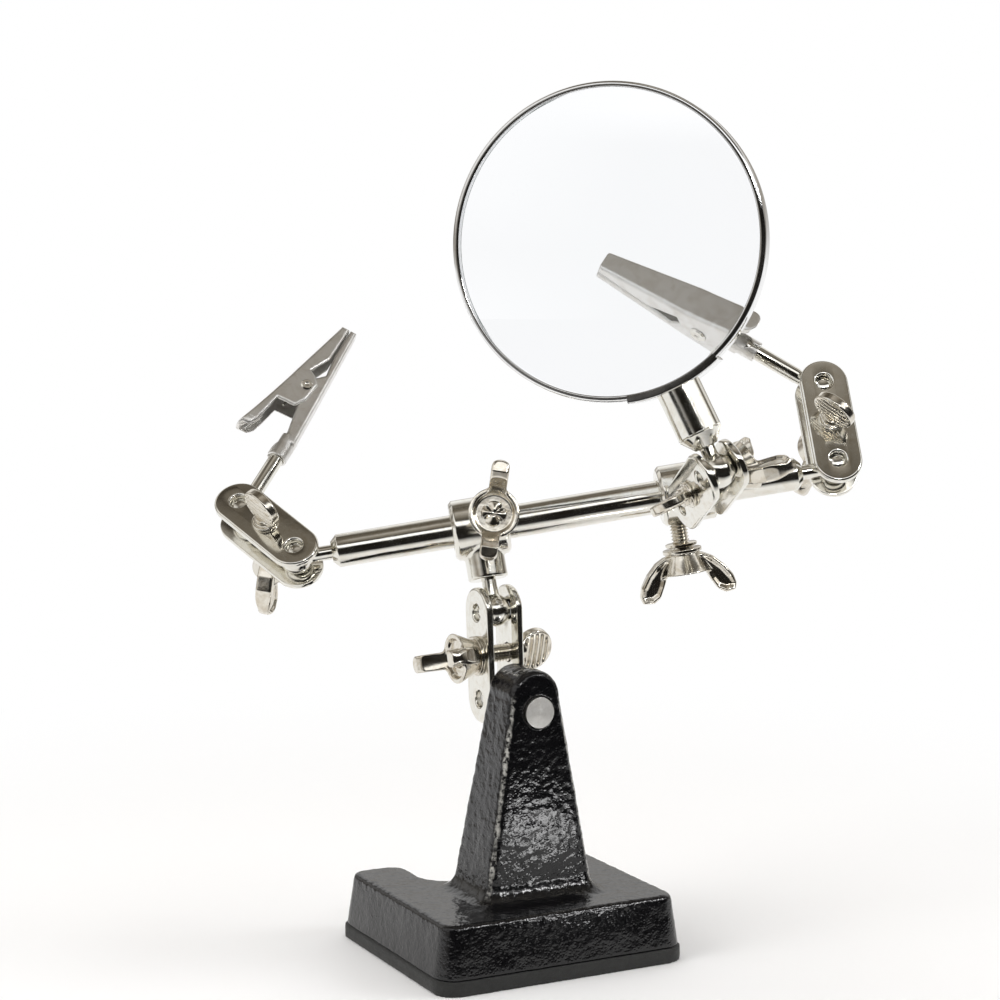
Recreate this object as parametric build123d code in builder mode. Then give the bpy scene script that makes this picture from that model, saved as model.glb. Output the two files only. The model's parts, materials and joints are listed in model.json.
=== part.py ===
from build123d import *
import math
import os

# A bench clamp with two sprung clips and a magnifier on a cross bar.
# Millimetres. Origin at the centre of the resting face, X to the right along the front edge,
# Y to the back, Z up. Every joint stands at its rest value.

# Base casting and pad
BASE_WIDTH = 57.6
BASE_DEPTH = 52.2
PAD_THICKNESS = 3.0
PAD_PROUD = 0.3
FOOT_HEIGHT = 11.2
FOOT_DRAFT_DEG = 9.0
FOOT_EDGE_RADIUS = 1.2
NOTCH_WIDTH = 26.4
NOTCH_FRONT_Y = 9.2
CORNER_RADIUS = 5.0
PILLAR_X = 0.5
PILLAR_FOOT_HALF_WIDTH = 13.6
PILLAR_NECK_HALF_WIDTH = 5.8
PILLAR_NECK_Z = 56.6
PILLAR_FRONT_FOOT_Y = -13.6
PILLAR_FRONT_TOP_Y = -11.0
PILLAR_REAR_FOOT_Y = 4.4
PILLAR_REAR_TOP_Y = 0.2
PILLAR_EDGE_RADIUS = 1.6
PILLAR_FLARE_RADIUS = 4.0
FOOT_TOP_Z = PAD_THICKNESS + FOOT_HEIGHT

# Turning fits
RUNNING_GAP = 0.05
SEAT_GAP = 0.05

# Pin through the pillar
PIN_X = 0.9
PIN_Z = 53.6
PIN_BALL_Y = 8.0
PIN_RADIUS = 2.25
PIN_HEAD_RADIUS = 3.3
PIN_HEAD_GAP = 0.2
PIN_HEAD_THICKNESS = 1.4
PIN_HEAD_SEAT_Y = -10.6
PIN_COLLAR_RADIUS = 2.9
PIN_COLLAR_Y = 1.35
PIN_COLLAR_THICKNESS = 1.0

# Ball studs
BALL_RADIUS = 3.6
NECK_RADIUS = 1.6

# Pinch clamps: two plates, a spade thumb screw and a wing nut
BALL_SPACING = 19.0
PLATE_WIDTH = 10.7
PLATE_THICKNESS = 1.5
PLATE_HALF_GAP = 2.9
PLATE_EYE_RADIUS = 1.8
PLATE_EDGE_RADIUS = 0.45
SCREW_RADIUS = 1.95
SCREW_HOLE_RADIUS = 2.15
PLATE_OUTER = PLATE_HALF_GAP + PLATE_THICKNESS
SPADE_WIDTH = 9.8
SPADE_HEIGHT = 8.6
SPADE_THICKNESS = 2.4
SPADE_COLLAR_RADIUS = 2.9
SPADE_COLLAR_HEIGHT = 0.9
SPADE_GROOVES = 5
SPADE_GROOVE_PITCH = 1.15
SPADE_GROOVE_DEPTH = 0.35

# Wing nut and wing screw heads
WING_FLANGE_RADIUS = 4.3
WING_FLANGE_THICKNESS = 0.9
WING_HUB_LENGTH = 5.6
WING_HUB_FOOT_RADIUS = 3.7
WING_HUB_END_RADIUS = 5.2
WING_DISH_RADIUS = 4.2
WING_DISH_DEPTH = 0.8
WING_TIP_RADIUS = 11.0
WING_TIP_HEIGHT = 10.8
WING_THICKNESS = 3.7
WING_SCREW_FLANGE = 12.0
WING_SCREW_END_RADIUS = 2.6

# Cross bar and its two sleeves
BAR_RADIUS = 3.6
BAR_LENGTH = 104.0
BAR_CHAMFER = 1.3
BAR_BALL_REACH = 7.7
STUD_SOCKET_DEPTH = 6.0
SLEEVE_RADIUS = 6.6
SLEEVE_LENGTH = 12.2
SLEEVE_CHAMFER = 0.8
SLEEVE_BOSS_RADIUS = 4.35
SLEEVE_SCREW_X = 2.8
SLEEVE_BALL_REACH = 18.5
SLEEVE_BOSS_END = 11.6
MAIN_SLEEVE_TO_BAR_CENTRE = 19.5
MAIN_TO_LENS_SLEEVE = 45.8

# Sprung clip, measured from its ball along the stud, Y toward the finger lever
CLIP_STUD_RADIUS = 1.7
CLIP_STUD_END = 19.5
CLIP_SHEET = 0.6
CLIP_CRIMP_START = 16.5
CLIP_CRIMP_END = 20.2
CLIP_TIP = 56.0
CLIP_PIVOT_X = 36.0
CLIP_PIVOT_Y = 2.7
CLIP_RIVET_RADIUS = 0.9
CLIP_BODY_WIDTH = 5.0
CLIP_JAW_WIDTH = 6.4
CLIP_TIP_WIDTH = 3.8
CLIP_BITE_Y = 1.15
CLIP_BITE_GAP = 0.15
CLIP_TEETH = 6
CLIP_TOOTH_PITCH = 1.3
CLIP_TOOTH_DEPTH = 0.5
SPRING_COIL_RADIUS = 1.9
SPRING_WIRE = 0.6

# Magnifier
LENS_REACH = 51.9
RIM_RADIUS = 32.8
RIM_WIDTH = 5.4
RIM_WALL = 0.7
RIM_LIP = 0.6
GLASS_RADIUS = RIM_RADIUS - RIM_WALL - 0.05
GLASS_EDGE = 4.4
GLASS_LIP_GAP = 0.1
GLASS_CENTRE = 10.0
SADDLE_WALL = 0.6
SADDLE_HALF_ANGLE = 18.0
SADDLE_SIDE = 1.1
SOCKET_RADIUS = 4.7
SOCKET_START = 8.4
CONE_START = 5.4

# Rest pose
CLAMP_LEAN_DEG = 2.0
SLEEVE_SWING_DEG = 18.0
BAR_LINE = (0.908, -0.389, 0.158)
LEFT_CLAMP_NORMAL = (-0.395, -0.550, 0.736)
LEFT_CLAMP_LINE = (-0.341, 0.831, 0.439)
LEFT_CLIP_LINE = (0.649, 0.363, 0.668)
LEFT_LEVER_SIDE = (-0.726, 0.489, 0.441)
RIGHT_CLAMP_NORMAL = (-0.365, -0.772, 0.521)
RIGHT_CLAMP_LINE = (0.142, 0.507, 0.850)
RIGHT_CLIP_LINE = (-0.701, 0.506, 0.502)
RIGHT_LEVER_SIDE = (-0.224, -0.870, 0.433)
LENS_SLEEVE_STEM = (-0.400, -0.916, 0.046)
LENS_CLAMP_NORMAL = (-0.908, 0.133, -0.396)
LENS_CLAMP_LINE = (-0.300, -0.868, 0.396)
LENS_STEM_LINE = (-0.292, 0.355, 0.888)
LENS_FACE = (-0.690, -0.714, 0.120)
SPADE_TURN_DEG = {"base": 20.0, "left": 0.0, "right": 45.0, "lens": -9.0}
WING_TURN_DEG = {"base": 104.0, "left": 60.0, "right": 35.0, "lens": 34.0}
MAIN_WING_TURN_DEG = 72.0
LENS_WING_TURN_DEG = 0.0


def square_to(line, axis):
    """The unit vector nearest to line that stands square to axis."""
    line = Vector(*line)
    axis = Vector(*axis).normalized()
    return (line - axis * line.dot(axis)).normalized()


def frame(origin, x_line, z_line):
    """A plane at origin whose Z is z_line and whose X is as near x_line as it can be."""
    z_line = Vector(*z_line).normalized()
    return Plane(origin=origin, x_dir=square_to(x_line, z_line), z_dir=z_line)


def turned(plane, degrees):
    """The same plane turned about its own Z."""
    spin = math.radians(degrees)
    x_dir = plane.x_dir * math.cos(spin) + plane.y_dir * math.sin(spin)
    return Plane(plane.origin, x_dir, plane.z_dir)


def save(solid, name, plane=Plane.XY):
    """Stands a piece made at the origin in its place and writes it."""
    placed = solid.moved(plane.location)
    placed.label = name
    export_step(placed, f"parts/{name}.step")


# ---------------------------------------------------------------- base

def foot_outline(grow=0.0):
    """The U-shaped footprint, open to the back, as a face."""
    with BuildSketch() as outline:
        Rectangle(BASE_WIDTH + 2 * grow, BASE_DEPTH + 2 * grow)
        with Locations((0, NOTCH_FRONT_Y - grow)):
            Rectangle(
                NOTCH_WIDTH - 2 * grow,
                BASE_DEPTH,
                align=(Align.CENTER, Align.MIN),
                mode=Mode.SUBTRACT,
            )
        fillet(outline.vertices(), CORNER_RADIUS)
    return outline.sketch


def make_base_casting():
    """Foot and pillar with the pin bore."""
    top = PILLAR_NECK_Z + PILLAR_NECK_HALF_WIDTH
    with BuildPart() as pillar:
        with BuildSketch(Plane.XZ.offset(-PILLAR_REAR_FOOT_Y)):
            with BuildLine():
                left_foot = (PILLAR_X - PILLAR_FOOT_HALF_WIDTH, FOOT_TOP_Z - 4)
                right_foot = (PILLAR_X + PILLAR_FOOT_HALF_WIDTH, FOOT_TOP_Z - 4)
                left_neck = (PILLAR_X - PILLAR_NECK_HALF_WIDTH, PILLAR_NECK_Z)
                right_neck = (PILLAR_X + PILLAR_NECK_HALF_WIDTH, PILLAR_NECK_Z)
                Polyline(left_neck, left_foot, right_foot, right_neck)
                ThreePointArc(right_neck, (PILLAR_X, top), left_neck)
            make_face()
        extrude(amount=PILLAR_REAR_FOOT_Y - PILLAR_FRONT_FOOT_Y)
        with BuildSketch(Plane.YZ.offset(-BASE_WIDTH)):
            Polygon(
                (PILLAR_FRONT_FOOT_Y, FOOT_TOP_Z - 5),
                (PILLAR_REAR_FOOT_Y, FOOT_TOP_Z - 5),
                (PILLAR_REAR_TOP_Y, top + 1),
                (PILLAR_FRONT_TOP_Y, top + 1),
                align=None,
            )
        extrude(amount=2 * BASE_WIDTH, mode=Mode.INTERSECT)
        rims = pillar.faces().sort_by(Axis.Y)
        fillet(rims[0].edges() + rims[-1].edges(), PILLAR_EDGE_RADIUS)
    with BuildPart() as casting:
        with BuildSketch(Plane.XY.offset(PAD_THICKNESS)):
            add(foot_outline())
        extrude(amount=FOOT_HEIGHT, taper=FOOT_DRAFT_DEG)
        top_face = casting.faces().sort_by(Axis.Z)[-1]
        fillet(top_face.edges(), FOOT_EDGE_RADIUS)
        foot_edges = casting.edges()
        add(pillar.part)
        root = [
            edge
            for edge in casting.edges() - foot_edges
            if abs(edge.center().Z - FOOT_TOP_Z) < 0.01
        ]
        fillet(root, PILLAR_FLARE_RADIUS)
        with BuildSketch(Plane.XZ):
            with Locations((PIN_X, PIN_Z)):
                Circle(PIN_RADIUS + RUNNING_GAP)
        extrude(amount=BASE_DEPTH, both=True, mode=Mode.SUBTRACT)
        with BuildSketch(Plane.XZ.offset(-PIN_HEAD_SEAT_Y)):
            with Locations((PIN_X, PIN_Z)):
                Circle(PIN_HEAD_RADIUS + PIN_HEAD_GAP)
        extrude(amount=10, mode=Mode.SUBTRACT)
    return casting.part


def make_base_pad():
    """Soft pad under the foot, a little proud of it all round."""
    with BuildPart() as pad:
        with BuildSketch():
            add(foot_outline(PAD_PROUD))
        extrude(amount=PAD_THICKNESS)
    return pad.part


def make_base_pin():
    """Pin from its flat front head to the ball behind the pillar, made along Z from the ball."""
    collar_face = PIN_BALL_Y - PIN_COLLAR_Y - PIN_COLLAR_THICKNESS
    collar_back = PIN_BALL_Y - PIN_COLLAR_Y
    head_seat = PIN_BALL_Y - PIN_HEAD_SEAT_Y + RUNNING_GAP
    with BuildPart() as pin:
        Sphere(BALL_RADIUS)
        Cylinder(NECK_RADIUS, collar_back, align=(Align.CENTER, Align.CENTER, Align.MIN))
        with Locations((0, 0, collar_face)):
            Cylinder(
                PIN_COLLAR_RADIUS,
                PIN_COLLAR_THICKNESS,
                align=(Align.CENTER, Align.CENTER, Align.MIN),
            )
            Cylinder(
                PIN_RADIUS,
                head_seat - collar_face,
                align=(Align.CENTER, Align.CENTER, Align.MIN),
            )
        with BuildSketch(Plane.XY.offset(head_seat)):
            Circle(PIN_HEAD_RADIUS)
        extrude(amount=PIN_HEAD_THICKNESS)
        chamfer(pin.faces().sort_by(Axis.Z)[-1].edges(), 0.25)
    return pin.part


# ---------------------------------------------------------------- pinch clamps

def make_plate():
    """Head-side plate of a clamp: first ball at the origin, second along X, gap below Z."""
    with BuildPart() as plate:
        with BuildSketch(Plane.XY.offset(PLATE_HALF_GAP)):
            with Locations((BALL_SPACING / 2, 0)):
                SlotCenterToCenter(BALL_SPACING - 0.4, PLATE_WIDTH)
        extrude(amount=PLATE_THICKNESS)
        rims = plate.edges().filter_by(Plane.XY)
        fillet(rims, PLATE_EDGE_RADIUS)
        with Locations((0, 0, 0), (BALL_SPACING, 0, 0)):
            Sphere(BALL_RADIUS + SEAT_GAP, mode=Mode.SUBTRACT)
            Cylinder(PLATE_EYE_RADIUS, 20, mode=Mode.SUBTRACT)
        with Locations((BALL_SPACING / 2, 0, 0)):
            Cylinder(SCREW_HOLE_RADIUS, 20, mode=Mode.SUBTRACT)
    return plate.part


def make_thumb_screw():
    """Screw whose shank crosses the gap along Z, with a ridged spade head at the top."""
    spade_z = PLATE_OUTER + SPADE_COLLAR_HEIGHT + SPADE_HEIGHT / 2 - 0.4
    with BuildPart() as screw:
        with Locations((0, 0, PLATE_OUTER)):
            Cylinder(
                SCREW_RADIUS,
                PLATE_OUTER * 2 + WING_HUB_LENGTH + 0.8,
                align=(Align.CENTER, Align.CENTER, Align.MAX),
            )
            Cylinder(
                SPADE_COLLAR_RADIUS,
                SPADE_COLLAR_HEIGHT,
                align=(Align.CENTER, Align.CENTER, Align.MIN),
            )
        chamfer(screw.faces().sort_by(Axis.Z)[0].edges(), 0.4)
        with BuildSketch(Plane.XZ):
            with Locations((0, spade_z)):
                Ellipse(SPADE_WIDTH / 2, SPADE_HEIGHT / 2)
            with Locations((0, PLATE_OUTER + 0.3)):
                Rectangle(3.6, 2, align=(Align.CENTER, Align.MIN))
        extrude(amount=SPADE_THICKNESS / 2, both=True)
        with BuildSketch(Plane.YZ):
            for side in (-1, 1):
                with Locations((side * SPADE_THICKNESS / 2, spade_z)):
                    with GridLocations(0, SPADE_GROOVE_PITCH, 1, SPADE_GROOVES):
                        Rectangle(2 * SPADE_GROOVE_DEPTH, SPADE_GROOVE_PITCH / 2)
        extrude(amount=SPADE_WIDTH, both=True, mode=Mode.SUBTRACT)
    return screw.part


def make_wing_head(start):
    """Flange, hub and two wings along Z, with the flange's face at Z start."""
    hub_end = start + WING_HUB_LENGTH
    ear = [
        (2.0, start + 1.0),
        (5.6, start + 1.0),
        (8.6, start + 3.6),
        (WING_TIP_RADIUS, start + 8.2),
        (WING_TIP_RADIUS - 0.7, start + WING_TIP_HEIGHT),
        (WING_TIP_RADIUS - 2.6, start + WING_TIP_HEIGHT - 0.6),
        (6.2, start + 6.0),
        (4.6, start + 4.4),
        (2.0, start + 4.4),
    ]
    with BuildPart() as head:
        with BuildSketch(Plane.XZ):
            Polygon(
                (0, start),
                (WING_FLANGE_RADIUS, start),
                (WING_FLANGE_RADIUS, start + WING_FLANGE_THICKNESS),
                (WING_HUB_FOOT_RADIUS, start + WING_FLANGE_THICKNESS + 0.3),
                (WING_HUB_END_RADIUS, hub_end),
                (WING_DISH_RADIUS, hub_end),
                (WING_DISH_RADIUS - 0.6, hub_end - WING_DISH_DEPTH),
                (0, hub_end - WING_DISH_DEPTH),
                align=None,
            )
        revolve(axis=Axis.Z)
        for side in (-1, 1):
            with BuildSketch(Plane.XZ):
                with BuildLine():
                    points = [(side * x, z) for x, z in ear]
                    Polyline(points[-1], points[0], points[1])
                    Spline(*points[1:8])
                    Line(points[7], points[-1])
                make_face()
            extrude(amount=WING_THICKNESS / 2, both=True)
    return head.part


def make_wing_nut():
    """Wing nut whose flange faces the origin, outward along Z."""
    head = make_wing_head(RUNNING_GAP)
    with BuildPart() as nut:
        add(head)
        Cylinder(SCREW_RADIUS + RUNNING_GAP, 60, mode=Mode.SUBTRACT)
    return nut.part


def make_wing_screw():
    """Wing screw for a sleeve: the origin on the bar's axis, outward along Z."""
    tip = BAR_RADIUS + 2 * RUNNING_GAP
    head = make_wing_head(WING_SCREW_FLANGE)
    with BuildPart() as screw:
        add(head)
        with Locations((0, 0, tip)):
            Cylinder(
                SCREW_RADIUS,
                WING_SCREW_FLANGE - tip + 1,
                align=(Align.CENTER, Align.CENTER, Align.MIN),
            )
        with Locations((0, 0, WING_SCREW_FLANGE + 2)):
            Cylinder(
                WING_SCREW_END_RADIUS,
                WING_HUB_LENGTH - 1.7,
                align=(Align.CENTER, Align.CENTER, Align.MIN),
            )
        chamfer(screw.faces().sort_by(Axis.Z)[0].edges(), 0.3)
    return screw.part


def save_clamp(name, ball, line, head_side, plates):
    """A whole pinch clamp from its first ball along line, its screw head toward head_side."""
    base = frame(ball, line, head_side)
    middle = Plane(base.from_local_coords((BALL_SPACING / 2, 0, 0)), base.x_dir, base.z_dir)
    plate = make_plate()
    save(plate, f"{name}_clamp_{plates[0]}_plate", base)
    flipped = Plane(middle.origin, -base.x_dir, -base.z_dir)
    far = Plane(flipped.from_local_coords((-BALL_SPACING / 2, 0, 0)), -base.x_dir, -base.z_dir)
    save(plate, f"{name}_clamp_{plates[1]}_plate", far)
    screw_frame = turned(middle, SPADE_TURN_DEG[name])
    save(make_thumb_screw(), f"{name}_clamp_thumb_screw", screw_frame)
    nut_face = Plane(flipped.from_local_coords((0, 0, PLATE_OUTER)), -base.x_dir, -base.z_dir)
    save(make_wing_nut(), f"{name}_clamp_wing_nut", turned(nut_face, WING_TURN_DEG[name]))


# ---------------------------------------------------------------- cross bar and sleeves

def make_ball_stud(shoulder, depth):
    """Ball at the origin with a shank along Z that enters its socket at shoulder."""
    with BuildPart() as stud:
        Sphere(BALL_RADIUS)
        Cylinder(NECK_RADIUS, shoulder + depth, align=(Align.CENTER, Align.CENTER, Align.MIN))
        chamfer(stud.faces().sort_by(Axis.Z)[-1].edges(), 0.3)
    return stud.part


def make_sleeve():
    """Tee sleeve: bar along X, ball boss along Z, screw hole along Y."""
    with BuildPart() as sleeve:
        with BuildSketch(Plane.YZ.offset(-SLEEVE_LENGTH / 2)):
            Circle(SLEEVE_RADIUS)
        extrude(amount=SLEEVE_LENGTH)
        ends = sleeve.edges().filter_by(GeomType.CIRCLE)
        chamfer(ends, SLEEVE_CHAMFER)
        with BuildSketch():
            Circle(SLEEVE_BOSS_RADIUS)
        extrude(amount=SLEEVE_BOSS_END)
        chamfer(sleeve.faces().sort_by(Axis.Z)[-1].edges(), 0.4)
        with BuildSketch(Plane.YZ.offset(-SLEEVE_LENGTH)):
            Circle(BAR_RADIUS + RUNNING_GAP)
        extrude(amount=2 * SLEEVE_LENGTH, mode=Mode.SUBTRACT)
        with BuildSketch(Plane.XY.offset(SLEEVE_BOSS_END - STUD_SOCKET_DEPTH)):
            Circle(NECK_RADIUS + RUNNING_GAP)
        extrude(amount=20, mode=Mode.SUBTRACT)
        with BuildSketch(Plane.XZ):
            with Locations((SLEEVE_SCREW_X, 0)):
                Circle(SCREW_RADIUS + RUNNING_GAP)
        extrude(amount=-20, mode=Mode.SUBTRACT)
    return sleeve.part


def make_cross_bar():
    """Round bar along X with a stud socket in each end."""
    with BuildPart() as bar:
        with BuildSketch(Plane.YZ.offset(-BAR_LENGTH / 2)):
            Circle(BAR_RADIUS)
        extrude(amount=BAR_LENGTH)
        chamfer(bar.edges().filter_by(GeomType.CIRCLE), BAR_CHAMFER)
        for side in (-1, 1):
            with BuildSketch(Plane.YZ.offset(side * BAR_LENGTH / 2)):
                Circle(NECK_RADIUS + RUNNING_GAP)
            extrude(amount=-side * STUD_SOCKET_DEPTH, mode=Mode.SUBTRACT)
    return bar.part


# ---------------------------------------------------------------- sprung clip

def make_clip_stud():
    """Round stud with its ball at the origin, along X."""
    with BuildPart() as stud:
        Sphere(BALL_RADIUS)
        with BuildSketch(Plane.YZ):
            Circle(NECK_RADIUS)
        extrude(amount=CLIP_STUD_END)
        with BuildSketch(Plane.YZ.offset(6.4)):
            Circle(CLIP_STUD_RADIUS)
        extrude(amount=CLIP_STUD_END - 6.4)
        chamfer(stud.faces().sort_by(Axis.X)[-1].edges(), 0.3)
    return stud.part


def plan_taper(tail_x, tail_width, wide_x, wide_width, tip_width):
    """The clip seen along Y: narrow at the tail, wide at the pivot, narrow at the tip."""
    outline = [
        (tail_x, tail_width / 2),
        (wide_x, wide_width / 2),
        (CLIP_PIVOT_X + 3, wide_width / 2),
        (CLIP_TIP + 1, tip_width / 2),
        (CLIP_TIP + 1, -tip_width / 2),
        (CLIP_PIVOT_X + 3, -wide_width / 2),
        (wide_x, -wide_width / 2),
        (tail_x, -tail_width / 2),
    ]
    # Plane.XZ has its own Y along Z, which is the clip's width.
    with BuildSketch(Plane.XZ) as plan:
        Polygon(*outline, align=None)
    return plan.sketch


def folded_sheet(outer, inner, plan_outer, plan_inner):
    """A channel folded from sheet: the outer side view over its plan, less the inner ones."""
    with BuildPart() as hollow:
        with BuildSketch():
            Polygon(*inner, align=None)
        extrude(amount=10, both=True)
        extrude(plan_inner, amount=40, both=True, mode=Mode.INTERSECT)
    with BuildPart() as sheet:
        with BuildSketch():
            Polygon(*outer, align=None)
        extrude(amount=10, both=True)
        extrude(plan_outer, amount=40, both=True, mode=Mode.INTERSECT)
        add(hollow.part, mode=Mode.SUBTRACT)
    return sheet.part


def tooth_row(start, level, side):
    """Small triangles along a jaw's edge, to be cut from it."""
    with BuildSketch() as teeth:
        for i in range(CLIP_TEETH):
            x = start + i * CLIP_TOOTH_PITCH
            Polygon(
                (x - 0.4, level + side * 0.05),
                (x, level - side * CLIP_TOOTH_DEPTH),
                (x + 0.4, level + side * 0.05),
                align=None,
            )
    return teeth.sketch


def make_clip_body():
    """Fixed jaw: crimp barrel round the stud, channel, and toothed jaw."""
    floor = CLIP_STUD_RADIUS + RUNNING_GAP
    wall = CLIP_SHEET
    side = [
        (CLIP_CRIMP_END + 0.4, -floor - 0.4),
        (CLIP_PIVOT_X, -1.5),
        (CLIP_TIP, -0.5),
        (CLIP_TIP, CLIP_BITE_Y),
        (CLIP_PIVOT_X + 11.0, CLIP_BITE_Y),
        (CLIP_PIVOT_X + 5.3, 0.35),
        (CLIP_PIVOT_X + 3.4, 2.0),
        (CLIP_PIVOT_X + 2.4, 4.5),
        (CLIP_PIVOT_X - 1.6, 4.7),
        (CLIP_PIVOT_X - 4.0, 3.0),
        (CLIP_PIVOT_X - 6.5, 2.15),
        (CLIP_CRIMP_END + 0.4, 0.9),
    ]
    inner = [
        (CLIP_CRIMP_END + 0.2, -floor + 0.2),
        (CLIP_PIVOT_X, -1.5 + wall),
        (CLIP_TIP - wall, -0.5 + wall),
        (CLIP_TIP - wall, 8),
        (CLIP_CRIMP_END + 0.2, 8),
    ]
    channel = folded_sheet(
        side,
        inner,
        plan_taper(CLIP_CRIMP_START, 4.4, CLIP_PIVOT_X - 6, CLIP_BODY_WIDTH, CLIP_TIP_WIDTH),
        plan_taper(
            CLIP_CRIMP_START,
            4.4 - 2 * wall,
            CLIP_PIVOT_X - 6,
            CLIP_BODY_WIDTH - 2 * wall,
            CLIP_TIP_WIDTH - 2 * wall,
        ),
    )
    with BuildPart() as body:
        add(channel)
        with BuildSketch(Plane.YZ.offset(CLIP_CRIMP_START)):
            Circle(floor + wall)
        extrude(amount=CLIP_CRIMP_END + 1.2 - CLIP_CRIMP_START)
        with BuildSketch(Plane.YZ.offset(CLIP_CRIMP_START - 1)):
            Circle(floor)
        extrude(amount=CLIP_CRIMP_END + 2.5 - CLIP_CRIMP_START, mode=Mode.SUBTRACT)
        # The barrel is rolled open toward the lever, as a crimp is.
        with BuildSketch(Plane.XY.offset(-0.6)):
            Polygon(
                (CLIP_CRIMP_START - 1, 0.6),
                (CLIP_CRIMP_START - 1, 4),
                (CLIP_CRIMP_END + 2, 4),
                (CLIP_CRIMP_END + 2, 0.6),
                align=None,
            )
        extrude(amount=1.2, mode=Mode.SUBTRACT)
        with Locations((CLIP_PIVOT_X, CLIP_PIVOT_Y, 0)):
            Cylinder(CLIP_RIVET_RADIUS + RUNNING_GAP, 20, mode=Mode.SUBTRACT)
        with BuildSketch():
            add(tooth_row(CLIP_PIVOT_X + 11.6, CLIP_BITE_Y, 1))
        extrude(amount=10, both=True, mode=Mode.SUBTRACT)
    return body.part


def make_clip_jaw():
    """Sprung jaw: toothed tip, cheeks over the pivot, and the finger lever."""
    wall = CLIP_SHEET
    bite = CLIP_BITE_Y + CLIP_BITE_GAP
    tail = (19.3, 11.9)
    side = [
        tail,
        (tail[0] + 0.1, tail[1] - 2.2),
        (21.8, 8.1),
        (24.6, 7.5),
        (29.4, 6.7),
        (29.6, 2.4),
        (32.4, 0.9),
        (37.4, 0.4),
        (39.4, 2.0),
        (40.3, 3.45),
        (45.5, bite),
        (CLIP_TIP, bite),
        (CLIP_TIP, 3.3),
        (37.0, 7.1),
        (29.0, 9.0),
        (24.0, 10.4),
    ]
    inner = [
        (tail[0] - 2, tail[1]),
        (24.0, 10.4 - wall),
        (29.0, 9.0 - wall),
        (37.0, 7.1 - wall),
        (CLIP_TIP - wall, 3.3 - wall),
        (CLIP_TIP - wall, -6),
        (tail[0] - 2, -6),
    ]
    sheet = folded_sheet(
        side,
        inner,
        plan_taper(tail[0] - 1, 5.6, CLIP_PIVOT_X - 8, CLIP_JAW_WIDTH, CLIP_TIP_WIDTH),
        plan_taper(
            tail[0] - 1,
            5.6 - 2 * wall,
            CLIP_PIVOT_X - 8,
            CLIP_JAW_WIDTH - 2 * wall,
            CLIP_TIP_WIDTH - 2 * wall,
        ),
    )
    with BuildPart() as jaw:
        add(sheet)
        with Locations((CLIP_PIVOT_X, CLIP_PIVOT_Y, 0)):
            Cylinder(CLIP_RIVET_RADIUS + RUNNING_GAP, 20, mode=Mode.SUBTRACT)
        with BuildSketch():
            add(tooth_row(CLIP_PIVOT_X + 12.25, bite, -1))
        extrude(amount=10, both=True, mode=Mode.SUBTRACT)
    return jaw.part


def make_clip_rivet():
    """Pivot rivet across the clip, along Z, with a thin head at each end."""
    half = CLIP_JAW_WIDTH / 2 + RUNNING_GAP
    with BuildPart() as rivet:
        with Locations((CLIP_PIVOT_X, CLIP_PIVOT_Y, 0)):
            Cylinder(CLIP_RIVET_RADIUS, 2 * half + 0.6)
            for side in (-1, 1):
                with Locations((0, 0, side * (half + 0.15))):
                    Cylinder(CLIP_RIVET_RADIUS + 0.5, 0.3)
    return rivet.part


def make_clip_spring():
    """Torsion spring: a coil round the rivet and two legs, as one solid."""
    width = CLIP_BODY_WIDTH - 2 * CLIP_SHEET - 0.6
    with BuildPart() as spring:
        with Locations((CLIP_PIVOT_X, CLIP_PIVOT_Y, 0)):
            Cylinder(SPRING_COIL_RADIUS, width)
            Cylinder(SPRING_COIL_RADIUS - SPRING_WIRE, width, mode=Mode.SUBTRACT)
        with BuildSketch(Plane.XY.offset(-width / 2)):
            Polygon(
                (CLIP_PIVOT_X - 1.4, CLIP_PIVOT_Y - 1.2),
                (CLIP_PIVOT_X - 1.0, CLIP_PIVOT_Y - 1.6),
                (CLIP_PIVOT_X - 7.6, CLIP_PIVOT_Y - 3.8),
                (CLIP_PIVOT_X - 7.8, CLIP_PIVOT_Y - 3.3),
                align=None,
            )
        extrude(amount=SPRING_WIRE)
        with BuildSketch(Plane.XY.offset(width / 2)):
            Polygon(
                (CLIP_PIVOT_X - 0.4, CLIP_PIVOT_Y + 1.4),
                (CLIP_PIVOT_X - 0.2, CLIP_PIVOT_Y + 1.8),
                (CLIP_PIVOT_X - 6.6, CLIP_PIVOT_Y + 2.2),
                (CLIP_PIVOT_X - 6.6, CLIP_PIVOT_Y + 1.7),
                align=None,
            )
        extrude(amount=-SPRING_WIRE)
    return spring.part


def save_clip(name, ball, line, lever_side):
    """A whole clip on its stud: the ball, along line, the lever toward lever_side."""
    x_line = Vector(*line).normalized()
    width = x_line.cross(square_to(lever_side, x_line))
    stand = frame(ball, x_line, width)
    save(make_clip_stud(), f"{name}_clip_stud", stand)
    save(make_clip_body(), f"{name}_clip_body", stand)
    save(make_clip_jaw(), f"{name}_clip_jaw", stand)
    save(make_clip_rivet(), f"{name}_clip_rivet", stand)
    save(make_clip_spring(), f"{name}_clip_spring", stand)


# ---------------------------------------------------------------- magnifier
# Made with the ball at the origin, the stem along X and the lens's axis along Z.

def make_lens_ball():
    """Ball, neck and cone under the lens socket."""
    with BuildPart() as ball:
        Sphere(BALL_RADIUS)
        with BuildSketch(Plane.XY):
            Polygon(
                (0, 0),
                (0, NECK_RADIUS),
                (CONE_START, NECK_RADIUS),
                (CONE_START, 2.4),
                (SOCKET_START - RUNNING_GAP, SOCKET_RADIUS),
                (SOCKET_START - RUNNING_GAP, NECK_RADIUS + 0.4),
                (SOCKET_START + 5, NECK_RADIUS + 0.4),
                (SOCKET_START + 5, 0),
                align=None,
            )
        revolve(axis=Axis.X)
    return ball.part


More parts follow.
